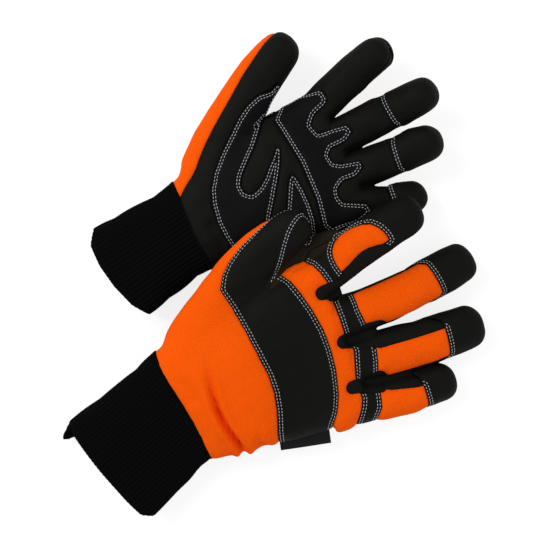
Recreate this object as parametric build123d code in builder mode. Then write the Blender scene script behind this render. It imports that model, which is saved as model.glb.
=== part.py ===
"""A pair of insulated work gloves: the left lies palm up and the right lies back up across it.

Each hand is built in its own frame: X runs from the wrist seam to the fingertips, Y to the
thumb, and Z up from the surface. The layers are lofts of the same sections, drawn in by the
thickness of what covers them. The finished hands are turned and set down in the frame of the pair.
"""

import os
from math import cos, radians, sin, sqrt

from build123d import *

os.makedirs("parts", exist_ok=True)

# Layers, from the outside in
shell_thickness = 1.5
insulation_thickness = 2.5
lining_thickness = 1.0
patch_thickness = 1.0
cuff_wall = 4.0

# Trim
binding_width = 5.0
binding_height = 1.8
wrist_over_surface = 2.3
label_length = 32.0
label_width = 14.0
label_thickness = 1.2
label_from_wrist = 69.0
label_slant = -14.5

# Seams of the back: how far from the wrist seam they cross the middle and the edges of the hand
band_start = 62.0
band_start_at_edges = 53.0
band_end = 109.0
band_end_at_edges = 94.0
fourchette_half_height = 4.5

# The panels of a finger, as shares of its length
strip_end = 0.2
cap_start = {"index": 0.64, "middle": 0.73, "ring": 0.7, "little": 0.63}

# How the gloves lie
right_wrist = (-96.5, -51.0)
right_heading = -7.0
right_roll = 13.0
left_wrist = (-30.5, 58.5)
left_heading = -5.0
clear_of_surface = 0.4

# The right hand, with its thumb side leaning on the left one
right_palm_length = 118.0
right_wrist_half_width = 43.0
right_knuckle_half_width = 60.0
right_half_height = 18.5
right_finger_length = {"index": 91.0, "middle": 110.0, "ring": 98.0, "little": 66.0}
right_finger_turn = {"index": (19, 5), "middle": (-1, 1), "ring": (-13, -1), "little": (-15, -2)}
right_finger_pitch = {"index": (3, 1), "middle": (-14, -4), "ring": (-10, -3), "little": (-8, -1)}
right_finger_half_width = 15.5
right_thumb_length = 118.0
right_thumb_turn = (44, 8)
right_thumb_pitch = (18, 7)
right_cuff_length = 73.0
right_cuff_turn = 18.0

# The left hand, flat on its back, with three fingers that curl up
left_palm_length = 118.0
left_wrist_half_width = 34.0
left_knuckle_half_width = 51.0
left_half_height = 16.5
left_finger_length = {"index": 70.0, "middle": 85.0, "ring": 74.0, "little": 49.0}
left_finger_turn = {"index": (20, 10), "middle": (3, -2), "ring": (-9, 0), "little": (-20, -8)}
left_finger_pitch = {"index": (0, 30), "middle": (0, 35), "ring": (0, 30), "little": (-6, -2)}
left_finger_half_width = 13.2
left_thumb_length = 114.0
left_thumb_turn = (42, 25)
left_thumb_pitch = (4, 2)
left_cuff_length = 64.0
left_cuff_turn = 8.0

# Shares that both hands keep
finger_half_height = 12.5
thumb_half_width = 20.0
thumb_tip_half_width = 14.5
thumb_half_height = 13.0
root_depth = 7.0
thumb_start = 28.0
thumb_from_middle = 0.88
thumb_strip_from_axis = 6.0
knuckle_half_height = 13.5
cuff_half_height = 15.0

FINGERS = ("index", "middle", "ring", "little")
TIP_SHARES = (1.0, 0.5, 0.15, 0.02)
CUFF_FLARE = ((0.2, -1.5), (0.6, 0.5), (1.0, 2.5))
REACH = 300.0
# Patches of the palm: corner radius, then points as length and share of the knuckles' half width
PATCHES = {
    "palm_patch": (3.0, [
        (95, 0.95), (116, 0.95), (116, 0.72), (109, 0.66), (109, 0.42), (116, 0.36),
        (116, 0.14), (111, 0.1), (111, -0.07), (116, -0.14), (116, -0.34), (106, -0.38),
        (105, -0.6), (116, -0.7), (116, -0.92), (90, -0.92), (86, -0.7), (90, -0.42),
        (91, 0.12), (88, 0.54),
    ]),
    "thumb_patch": (2.5, [
        (86, 0.98), (73, 0.98), (53, 0.88), (32, 0.51), (21, 0.13), (20, -0.5), (54, -0.4),
        (69, 0.0), (81, 0.46), (64, 0.16), (48, 0.0), (45, 0.2), (57, 0.46), (80, 0.86),
    ]),
    "heel_patch": (2.5, [(58, -0.8), (67, -0.4), (81, 0.05), (85, -0.4), (81, -0.8)]),
}


def across(centre, direction, roll):
    """The plane of a cross-section: X towards the thumb side, Y away from the surface."""
    side = Vector(0, 0, 1).cross(direction).rotate(Axis((0, 0, 0), direction), roll)
    return Plane(origin=centre, x_dir=side, z_dir=direction)


def flat_tube(sections, drawn_in=0.0):
    """A padded tube with round edges through (plane, half width, half height) sections."""
    with BuildPart() as tube:
        for plane, half_width, half_height in sections:
            with BuildSketch(plane):
                RectangleRounded(
                    2 * (half_width - drawn_in),
                    2 * (half_height - drawn_in),
                    0.96 * (half_height - drawn_in),
                )
        loft(ruled=True)
    return tube.part


class Limb:
    """A finger or a thumb: a round-ended oval tube along a path that turns and pitches evenly."""

    def __init__(self, root, length, turn, pitch, roll, half_width, half_height, cap=1.0):
        self.root, self.length, self.turn, self.pitch = Vector(*root), length, turn, pitch
        self.roll, self.half_width, self.half_height, self.cap = roll, half_width, half_height, cap

    def at(self, share, steps=8):
        """The point at a share of the length and the direction there."""
        point = self.root
        direction = self.direction(0)
        for step in range(steps):
            direction = self.direction((step + 0.5) * share / steps)
            point = point + direction * (self.length * share / steps)
        return point, self.direction(share)

    def direction(self, share):
        heading = radians(self.turn[0] + (self.turn[1] - self.turn[0]) * share)
        rise = radians(self.pitch[0] + (self.pitch[1] - self.pitch[0]) * share)
        return Vector(cos(rise) * cos(heading), cos(rise) * sin(heading), sin(rise))

    def plane(self, share):
        point, direction = self.at(share)
        return across(point, direction, self.roll[0] + (self.roll[1] - self.roll[0]) * share)

    def size(self, share, drawn_in):
        width = self.half_width[0] + (self.half_width[1] - self.half_width[0]) * share
        return width - drawn_in, self.half_height - drawn_in

    def tube(self, drawn_in=0.0, body=True, tip=True):
        """The limb, or only its body up to the seam of the cap, or only its tip, drawn in."""
        sections = []
        if body:
            plane = self.plane(0)
            root = across(plane.origin - plane.z_dir * root_depth, plane.z_dir, self.roll[0])
            sections.append((root, *self.size(0, drawn_in)))
            sections.append((self.plane(self.cap / 2), *self.size(self.cap / 2, drawn_in)))
        sections.append((self.plane(self.cap), *self.size(self.cap, drawn_in)))
        if tip:
            half_width, half_height = self.size(1, drawn_in)
            end, direction = self.at(1)
            for share in TIP_SHARES:
                plane = across(end - direction * (drawn_in + half_height * share), direction,
                               self.roll[1])
                shrink = sqrt(1 - (1 - share) ** 2)
                sections.append((plane, half_width * shrink, half_height * shrink))
        with BuildPart() as limb:
            for plane, half_width, half_height in sections:
                with BuildSketch(plane):
                    Ellipse(half_width, half_height)
            loft(ruled=True)
        return limb.part

    def region(self, low, high, side=0, start=-0.5, end=1.5):
        """A block along the limb's body, between two heights over its middle surface and between
        two shares of its length: the whole width, or only the thumb's side (1) or the other (-1)."""
        first, last = self.at(0)[0], self.at(self.cap)[0]
        middle = self.plane(self.cap / 2)
        chord = Plane(origin=first, x_dir=last - first, z_dir=middle.y_dir)
        with BuildPart() as block:
            with BuildSketch(chord.offset(low)):
                with Locations((self.length * (start + end) / 2, 0)):
                    align = (Align.CENTER, (Align.MAX, Align.CENTER, Align.MIN)[side + 1])
                    Rectangle(self.length * (end - start), REACH, align=align)
            extrude(amount=high - low)
        return block.part


class Hand:
    """The sections of one glove's hand, thumb, fingers and cuff."""

    def __init__(self, back_up, palm_length, wrist_half_width, knuckle_half_width, half_height,
                 roll, lift, lengths, turns, pitches, finger_half_width,
                 thumb, cuff_length, cuff_turn):
        self.back_up, self.palm_length, self.lift = back_up, palm_length, lift
        self.wrist_half_width, self.knuckle_half_width = wrist_half_width, knuckle_half_width
        self.half_height, self.roll, self.finger_half_width = half_height, roll, finger_half_width
        self.lengths, self.turns, self.pitches = lengths, turns, pitches
        self.thumb_length, self.thumb_turn, self.thumb_pitch = thumb
        self.cuff_length, self.cuff_turn = cuff_length, cuff_turn

    def palm_section(self, share):
        """Half width, half height, height above the surface and roll at a share of the palm."""
        width_growth = ((0, 0.0), (0.25, 0.3), (0.5, 0.6), (0.8, 0.93), (1.0, 1.0))
        swell = ((0, 0.85), (0.25, 0.97), (0.5, 1.04), (0.8, 1.0), (1.0, 0.74))
        lean = ((0, 0.3), (0.25, 0.55), (0.5, 0.85), (0.8, 1.0), (1.0, 1.0))
        grown = self.knuckle_half_width - self.wrist_half_width
        half_width = self.wrist_half_width + grown * between(width_growth, share)
        half_height = self.half_height * between(swell, share)
        roll = self.roll * between(lean, share)
        deepest = max(half_height, self.half_height if share > 0.8 else 0.0)
        over_binding = wrist_over_surface * between(((0, 1.0), (0.25, 0.0), (1.0, 0.0)), share)
        height = self.lift + over_binding + deepest
        height += (half_width - deepest) * sin(radians(roll))
        return half_width, half_height, height, roll

    def palm_plane(self, share, setback=0.0):
        half_width, half_height, height, roll = self.palm_section(share)
        return across(Vector(self.palm_length * share - setback, 0, height), Vector(1, 0, 0), roll)

    def palm(self, drawn_in=0.0, end=1.0):
        """The palm, closed at the knuckles and open at the wrist."""
        sections = []
        for share in (0.0, 0.25, 0.5, 0.8, 1.0):
            if share < end:
                half_width, half_height, _, _ = self.palm_section(share)
                sections.append((self.palm_plane(share), half_width, half_height))
        half_width, half_height, _, _ = self.palm_section(end)
        setback = max(drawn_in, 0.0) if end == 1.0 else 0.0
        sections.append((self.palm_plane(end, setback), half_width, half_height))
        return flat_tube(sections, drawn_in)

    def half(self, from_middle):
        """All that lies on the back side of the palm's middle surface, or further from it."""
        with BuildPart() as side:
            for share in (0.0, 0.25, 0.5, 0.8, 1.0):
                with BuildSketch(self.palm_plane(share)):
                    with Locations((0, from_middle)):
                        align = (Align.CENTER, Align.MIN if self.back_up else Align.MAX)
                        Rectangle(REACH, REACH / 4, align=align)
            loft(ruled=True)
        return side.part

    def surface_point(self, x, y):
        """A point on the palm's middle surface."""
        _, _, height, roll = self.palm_section(x / self.palm_length)
        return Vector(x, y, height + y * sin(radians(roll)))

    def limbs(self):
        pitch = 2 * self.knuckle_half_width / len(FINGERS)
        found = {}
        for number, name in enumerate(FINGERS):
            y = self.knuckle_half_width - pitch * (number + 0.5)
            slim = 0.9 if name == "little" else 1.0
            tip_roll = self.roll * (2.3 if name == "index" else 0.0)
            found[name] = Limb(
                root=self.surface_point(self.palm_length, y),
                length=self.lengths[name],
                turn=self.turns[name],
                pitch=self.pitches[name],
                roll=(self.roll, tip_roll),
                half_width=(0.48 * pitch, self.finger_half_width * slim),
                half_height=finger_half_height,
                cap=cap_start[name],
            )
        found["thumb"] = Limb(
            root=self.surface_point(thumb_start, thumb_from_middle * self.wrist_half_width),
            length=self.thumb_length,
            turn=self.thumb_turn,
            pitch=self.thumb_pitch,
            roll=(self.roll, self.roll),
            half_width=(thumb_half_width, thumb_tip_half_width),
            half_height=thumb_half_height,
            cap=0.8,
        )
        return found

    def cuff(self, drawn_in=0.0):
        """The knitted cuff, from the wrist seam back along its own heading."""
        half_width, half_height, _, lean = self.palm_section(0)
        back = Vector(cos(radians(self.cuff_turn)), sin(radians(self.cuff_turn)), 0)
        sections = [(self.palm_plane(0), half_width, half_height)]
        for share, flare in CUFF_FLARE:
            roll = lean * (1 - share)
            rise = self.lift + cuff_half_height
            rise += (half_width + flare - cuff_half_height) * sin(radians(roll))
            centre = Vector(0, 0, rise) - back * (self.cuff_length * share)
            heading = radians(self.cuff_turn * min(1.0, 2 * share))
            plane = across(centre, Vector(cos(heading), sin(heading), 0), roll)
            sections.append((plane, half_width + flare, cuff_half_height))
        return flat_tube(sections, drawn_in)


def between(table, share):
    """The value at a share, in a straight line between the two nearest entries."""
    for (low, first), (high, second) in zip(table, table[1:]):
        if share <= high:
            return first + (second - first) * (share - low) / (high - low)
    return table[-1][1]


def joined(*pieces):
    """Several pieces sewn into one."""
    with BuildPart() as whole:
        for piece in pieces:
            add(piece)
    return whole.part


def cut(piece, *tools):
    """A piece less the tools."""
    with BuildPart() as rest:
        add(piece)
        for tool in tools:
            add(tool, mode=Mode.SUBTRACT)
    return rest.part


def kept(piece, *regions):
    """What of a piece lies in every region."""
    with BuildPart() as common:
        add(piece)
        for region in regions:
            add(region, mode=Mode.INTERSECT)
    return common.part


def beyond_seam(middle, edges, half_width):
    """All that lies on the fingers' side of a seam that crosses the back in an arc."""
    with BuildPart() as region:
        with BuildSketch(Plane.XY.offset(-REACH / 2)):
            with BuildLine():
                seam = ThreePointArc((edges, -half_width), (middle, 0), (edges, half_width))
                Polyline(seam @ 1, (REACH, half_width), (REACH, -half_width), seam @ 0)
            make_face()
        extrude(amount=REACH)
    return region.part


def patch_region(outline, half_width, corner):
    """The upright prism on a patch's outline of (length, share of the half width) points."""
    with BuildPart() as region:
        with BuildSketch(Plane.XY.offset(-REACH / 2)) as shape:
            with BuildLine():
                Polyline(*[(x, share * half_width) for x, share in outline], close=True)
            make_face()
            fillet(shape.vertices(), corner)
        extrude(amount=REACH)
    return region.part


def hand_layer(hand, outside, inside):
    """A layer of the whole hand between two depths, with the limbs open to the palm."""
    limbs = hand.limbs().values()
    core = hand.palm(outside)
    pieces = [cut(core, hand.palm(inside), *[limb.tube(inside) for limb in limbs])]
    for limb in limbs:
        pieces.append(cut(limb.tube(outside), limb.tube(inside), core))
    return joined(*pieces)


def glove(hand):
    """All the pieces of one glove, by name."""
    sign = 1 if hand.back_up else -1
    limbs = hand.limbs()
    width = hand.knuckle_half_width
    core = hand.palm()
    pieces = {}

    skin = cut(core, hand.palm(shell_thickness), *[x.tube(shell_thickness) for x in limbs.values()])
    back = kept(skin, hand.half(sign * fourchette_half_height))
    after_start = beyond_seam(band_start, band_start_at_edges, width + insulation_thickness)
    after_end = beyond_seam(band_end, band_end_at_edges, width + insulation_thickness)
    pieces["back_gauntlet"] = cut(back, after_start)
    pieces["knuckle_band"] = cut(kept(back, after_start), after_end)
    pieces["knuckle_panel"] = kept(back, after_end)

    fronts, sides = [], {}
    for number, name in enumerate(FINGERS):
        finger = limbs[name]
        body = cut(finger.tube(tip=False), finger.tube(shell_thickness, tip=False), core)
        heights = sorted((sign * fourchette_half_height, sign * REACH / 4))
        above = kept(body, finger.region(*heights))
        strip = finger.region(-REACH / 4, REACH / 4, end=strip_end)
        pieces[f"strip_{name}"] = kept(above, strip)
        pieces[f"back_{name}"] = cut(above, strip)
        level = (-fourchette_half_height, fourchette_half_height)
        tools = [finger.region(*heights)]
        for side, gap in ((1, number - 1), (-1, number)):
            if 0 <= gap < len(FINGERS) - 1:
                wall = finger.region(*level, side=side)
                sides.setdefault(gap, []).append(kept(body, wall))
                tools.append(wall)
        fronts.append(cut(body, *tools))
        pieces[f"cap_{name}"] = cut(finger.tube(body=False), finger.tube(shell_thickness, body=False))
    for gap, walls in sides.items():
        pieces[f"fourchette_{FINGERS[gap]}_{FINGERS[gap + 1]}"] = joined(*walls)
    pieces["palm_panel"] = joined(cut(skin, hand.half(sign * fourchette_half_height)), *fronts)

    thumb = limbs["thumb"]
    sleeve = cut(thumb.tube(), thumb.tube(shell_thickness), core)
    outer = thumb.region(-REACH / 4, REACH / 4, side=1, end=thumb.cap)
    outer = outer.moved(Location(thumb.plane(0).x_dir * thumb_strip_from_axis))
    pieces["thumb_back"] = kept(sleeve, outer)
    pieces["thumb"] = cut(sleeve, outer)

    raised = cut(hand.palm(-patch_thickness), core, *[x.tube() for x in limbs.values()])
    raised = cut(raised, hand.half(0))
    for name, (corner, outline) in PATCHES.items():
        pieces[name] = kept(raised, patch_region(outline, width, corner))

    cuff = hand.cuff()
    pieces["cuff"] = cut(cuff, hand.cuff(cuff_wall))
    share = binding_width / hand.palm_length
    ring = []
    for at in (0.0, share):
        half_width, half_height, _, _ = hand.palm_section(at)
        ring.append((hand.palm_plane(at), half_width, half_height))
    pieces["cuff_binding"] = cut(flat_tube(ring, -binding_height), core)

    middle = shell_thickness + insulation_thickness
    pieces["insulation"] = hand_layer(hand, shell_thickness, middle)
    pieces["lining"] = hand_layer(hand, middle, middle + lining_thickness)
    return pieces


def label_tag(hand):
    """The folded tag sewn into the side seam beside the band; it carries nothing."""
    half_width, _, _, _ = hand.palm_section(label_from_wrist / hand.palm_length)
    seat = hand.surface_point(label_from_wrist, -half_width)
    with BuildPart() as tag:
        with BuildSketch(Plane(seat).rotated((0, 0, label_slant))):
            Rectangle(label_length, label_width)
        extrude(amount=label_thickness)
    return cut(tag.part, hand.palm())


right = Hand(
    True, right_palm_length, right_wrist_half_width, right_knuckle_half_width, right_half_height,
    right_roll, clear_of_surface + patch_thickness, right_finger_length, right_finger_turn,
    right_finger_pitch, right_finger_half_width,
    (right_thumb_length, right_thumb_turn, right_thumb_pitch), right_cuff_length, right_cuff_turn,
)
left = Hand(
    False, left_palm_length, left_wrist_half_width, left_knuckle_half_width, left_half_height,
    0.0, 0.0, left_finger_length, left_finger_turn, left_finger_pitch, left_finger_half_width,
    (left_thumb_length, left_thumb_turn, left_thumb_pitch), left_cuff_length, left_cuff_turn,
)

right_pieces = glove(right)
right_pieces["label_tag"] = label_tag(right)
set_down = {
    "right": (right_pieces, Location((*right_wrist, 0), (0, 0, right_heading))),
    "left": (glove(left), Location((*left_wrist, 0), (0, 0, left_heading))),
}
pair = {
    f"{side}_{name}": piece.moved(place)
    for side, (pieces, place) in set_down.items()
    for name, piece in pieces.items()
}

# The frame of the pair has its origin on the surface, under the middle of its box
boxes = [piece.bounding_box() for piece in pair.values()]
low = [min(tuple(box.min)[axis] for box in boxes) for axis in range(3)]
high = [max(tuple(box.max)[axis] for box in boxes) for axis in range(3)]
to_origin = Location((-(low[0] + high[0]) / 2, -(low[1] + high[1]) / 2, -low[2]))
for name, piece in pair.items():
    placed = piece.moved(to_origin)
    placed.label = name
    export_step(placed, f"parts/{name}.step")
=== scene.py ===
"""A pair of insulated work gloves: knit backs, leather palms, topstitching and rib-knit cuffs.

Each glove is shaped in its own hand frame, in millimetres: X from the wrist seam to the fingertips,
Y towards the thumb and Z up. A hand is one closed surface that is cut into its panels along fields,
each a distance in millimetres that is positive inside its panel.
"""

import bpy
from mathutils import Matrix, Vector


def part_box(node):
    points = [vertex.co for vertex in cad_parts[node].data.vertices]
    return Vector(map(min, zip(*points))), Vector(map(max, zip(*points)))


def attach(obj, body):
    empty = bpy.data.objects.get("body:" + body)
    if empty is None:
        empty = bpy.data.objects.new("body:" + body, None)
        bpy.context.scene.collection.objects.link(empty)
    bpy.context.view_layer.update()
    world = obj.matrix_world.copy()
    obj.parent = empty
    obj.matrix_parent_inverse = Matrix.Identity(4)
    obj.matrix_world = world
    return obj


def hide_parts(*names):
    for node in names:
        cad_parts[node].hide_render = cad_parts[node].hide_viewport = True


bl_info = {
    "name": "Insulated Work Gloves",
    "version": (1, 0, 0),
    "blender": (4, 5, 0),
    "location": "3D View > Sidebar > Gloves",
    "description": "Builds a pair of padded work gloves around their CAD frame",
    "category": "Add Mesh",
}

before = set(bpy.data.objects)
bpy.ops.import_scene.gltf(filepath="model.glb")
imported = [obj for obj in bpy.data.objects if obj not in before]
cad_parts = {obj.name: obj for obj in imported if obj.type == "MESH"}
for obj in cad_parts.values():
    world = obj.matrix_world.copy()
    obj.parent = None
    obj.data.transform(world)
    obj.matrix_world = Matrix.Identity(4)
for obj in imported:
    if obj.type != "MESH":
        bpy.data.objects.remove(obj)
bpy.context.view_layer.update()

import math

import bpy
import numpy as np
from bpy.props import FloatProperty, FloatVectorProperty, PointerProperty
from mathutils import Vector
from mathutils.kdtree import KDTree

MM = 0.001
FINGERS = ("index", "middle", "ring", "little")
BODIES = {"right": "right_glove", "left": "left_glove"}


# --- The hands, in millimetres and degrees -----------------------------------------------------------


class HandSizes:
    """What the two hands don't share. The right fingers reach a little past the CAD model's."""

    def __init__(self, side, **sizes):
        self.side = side
        self.__dict__.update(sizes)


# A pair of angles holds at a limb's root and at its tip
RIGHT = HandSizes(
    "right",
    back_up=True,
    heading=-7.0,
    wrist_half_width=43.0,
    knuckle_half_width=60.0,
    half_height=18.5,
    roll=13.0,
    lift=1.4,
    lengths={"index": 91.0, "middle": 116.0, "ring": 104.0, "little": 70.0},
    turns={"index": (19, 5), "middle": (-6, 9), "ring": (-13, -1), "little": (-15, -2)},
    pitches={"index": (3, 1), "middle": (-14, -4), "ring": (-10, -3), "little": (-8, -1)},
    finger_rolls={"index": -20, "middle": 0, "ring": 20, "little": 34},
    root_shifts={"index": 0.0, "middle": 0.0, "ring": -2.0, "little": -4.0},
    width_shares={"index": 1.0, "middle": 1.0, "ring": 1.09, "little": 0.92},
    crotches={"index_middle": 17.0, "middle_ring": 29.0, "ring_little": 62.0},
    finger_half_width=15.5,
    thumb_length=118.0,
    thumb_turn=(44, 8),
    thumb_pitch=(18, 7),
    cuff_length=73.0,
    cuff_turn=18.0,
)
LEFT = HandSizes(
    "left",
    back_up=False,
    heading=-5.0,
    wrist_half_width=34.0,
    knuckle_half_width=51.0,
    half_height=16.5,
    roll=0.0,
    lift=0.0,
    lengths={"index": 70.0, "middle": 85.0, "ring": 74.0, "little": 49.0},
    turns={"index": (20, 10), "middle": (3, -2), "ring": (-9, 0), "little": (-20, -8)},
    pitches={"index": (0, 30), "middle": (0, 35), "ring": (0, 30), "little": (-6, -2)},
    finger_rolls={"index": 0, "middle": 0, "ring": 0, "little": 0},
    root_shifts={"index": 0.0, "middle": 0.0, "ring": 0.0, "little": 0.0},
    width_shares={"index": 1.0, "middle": 1.0, "ring": 1.0, "little": 0.9},
    crotches={},
    finger_half_width=13.2,
    thumb_length=114.0,
    thumb_turn=(42, 25),
    thumb_pitch=(4, 2),
    cuff_length=64.0,
    cuff_turn=8.0,
)
PALM_LENGTH = 118.0
FINGER_HALF_HEIGHT = 12.5
THUMB_HALF_WIDTHS = (20.0, 14.5)
THUMB_HALF_HEIGHT = 13.0
THUMB_START = 28.0
THUMB_FROM_MIDDLE = 0.88
WRIST_OVER_SURFACE = 2.3
CUFF_HALF_HEIGHT = 15.0
BINDING_WIDTH = 5.0
# How square the sections are: 2 is an ellipse
PALM_SQUARENESS, LIMB_SQUARENESS, TIP_SQUARENESS = 2.7, 2.1, 2.4
# How far a limb's tube starts back inside the palm, and the step between the stations there
FINGER_SUNK, THUMB_SUNK, SUNK_STEP = 24.0, 20.0, 2.0
# Half size of the palm's rounded end, past the knuckles
PALM_END = 6.05
# The fold of leather between thumb and index finger: places along and across the hand, and how far each
# lies below its middle
WEB_STATIONS = (
    (56, 46, 0), (72, 51.5, 1), (88, 57, 2), (104, 62, 4), (124, 65.5, 5), (142, 66, 5), (154, 62.5, 5),
)
WEB_HALF_SIZES = (10.5, 9.0)
# The folds between the fingers: half sizes, where they start and over what length they taper off
CROTCH_HALF_SIZES, CROTCH_START, CROTCH_TAPER = (4.6, 4.4), -6.0, 5.0


def rows(*values):
    return np.stack(np.broadcast_arrays(*values), -1).astype(float)


def unit(vectors):
    return vectors / np.maximum(np.linalg.norm(vectors, axis=-1, keepdims=True), 1e-12)


def smoothstep(low, high, x):
    t = np.clip((x - low) / (high - low), 0.0, 1.0)
    return t * t * (3.0 - 2.0 * t)


class Tube:
    """A tube through stations: points on its axis with half sizes and a roll at each."""

    def __init__(self, points, half_width, half_height, roll, squareness):
        self.points = np.asarray(points, float)
        tangent = unit(np.gradient(self.points, axis=0))
        side = unit(np.cross((0.0, 0.0, 1.0), tangent))
        up = np.cross(tangent, side)
        turn = np.radians(np.broadcast_to(roll, len(self.points)))[:, None]
        self.tangent = tangent
        self.side = side * np.cos(turn) + up * np.sin(turn)
        self.up = up * np.cos(turn) - side * np.sin(turn)
        self.half_width = np.broadcast_to(half_width, len(self.points)).astype(float)
        self.half_height = np.broadcast_to(half_height, len(self.points)).astype(float)
        self.squareness = squareness
        steps = np.linalg.norm(np.diff(self.points, axis=0), axis=1)
        self.along = np.concatenate([[0.0], np.cumsum(steps)])

    def local(self, points):
        """Each point's place: along the axis, across it, over it, and the half sizes there."""
        best = np.full(len(points), np.inf)
        nearest = np.zeros(len(points), int)
        for index, station in enumerate(self.points):
            distance = ((points - station) ** 2).sum(1)
            closer = distance < best
            best[closer] = distance[closer]
            nearest[closer] = index
        offset = points - self.points[nearest]
        along = self.along[nearest] + (offset * self.tangent[nearest]).sum(1)
        inside = np.clip(along, self.along[0], self.along[-1])
        sides = [np.interp(inside, self.along, self.side[:, k]) for k in range(3)]
        ups = [np.interp(inside, self.along, self.up[:, k]) for k in range(3)]
        axis = [np.interp(inside, self.along, self.points[:, k]) for k in range(3)]
        offset = points - rows(*axis)
        across = (offset * unit(rows(*sides))).sum(1)
        over = (offset * unit(rows(*ups))).sum(1)
        width = np.interp(inside, self.along, self.half_width)
        height = np.interp(inside, self.along, self.half_height)
        return along, across, over, width, height

    def reach(self, points):
        """How far each point is from the axis, as a share of the half sizes there."""
        _, across, over, width, height = self.local(points)
        return np.hypot(across / width, over / height)

    def mesh(self, around=48, drawn_in=0.0):
        """The closed tube: rings of points and the faces between them."""
        half_width = np.maximum(self.half_width - drawn_in, 0.3)
        half_height = np.maximum(self.half_height - drawn_in, 0.3)
        angle = np.linspace(0, 2 * math.pi, around, endpoint=False)
        power = 2.0 / self.squareness
        u = np.sign(np.cos(angle)) * np.abs(np.cos(angle)) ** power
        v = np.sign(np.sin(angle)) * np.abs(np.sin(angle)) ** power
        rings = (
            self.points[:, None]
            + self.side[:, None] * (half_width[:, None] * u)[..., None]
            + self.up[:, None] * (half_height[:, None] * v)[..., None]
        )
        count = len(rings)
        points = np.concatenate([rings.reshape(-1, 3), self.points[:1], self.points[-1:]])
        ring, step = np.meshgrid(np.arange(count - 1), np.arange(around), indexing="ij")
        following = (step + 1) % around
        quads = np.stack(
            [ring * around + step, ring * around + following,
             (ring + 1) * around + following, (ring + 1) * around + step], -1
        ).reshape(-1, 4)
        faces = [tuple(quad) for quad in quads.tolist()]
        first, last = count * around, count * around + 1
        for k in range(around):
            after = (k + 1) % around
            faces.append((first, after, k))
            faces.append((last, (count - 1) * around + k, (count - 1) * around + after))
        return points, faces


def bent_path(root, length, turn, pitch, steps=80):
    """Points along a limb whose heading and pitch change evenly."""
    share = (np.arange(steps) + 0.5) / steps
    heading = np.radians(turn[0] + (turn[1] - turn[0]) * share)
    rise = np.radians(pitch[0] + (pitch[1] - pitch[0]) * share)
    direction = rows(np.cos(rise) * np.cos(heading), np.cos(rise) * np.sin(heading), np.sin(rise))
    return np.vstack([root, root + np.cumsum(direction * (length / steps), axis=0)])


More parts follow.
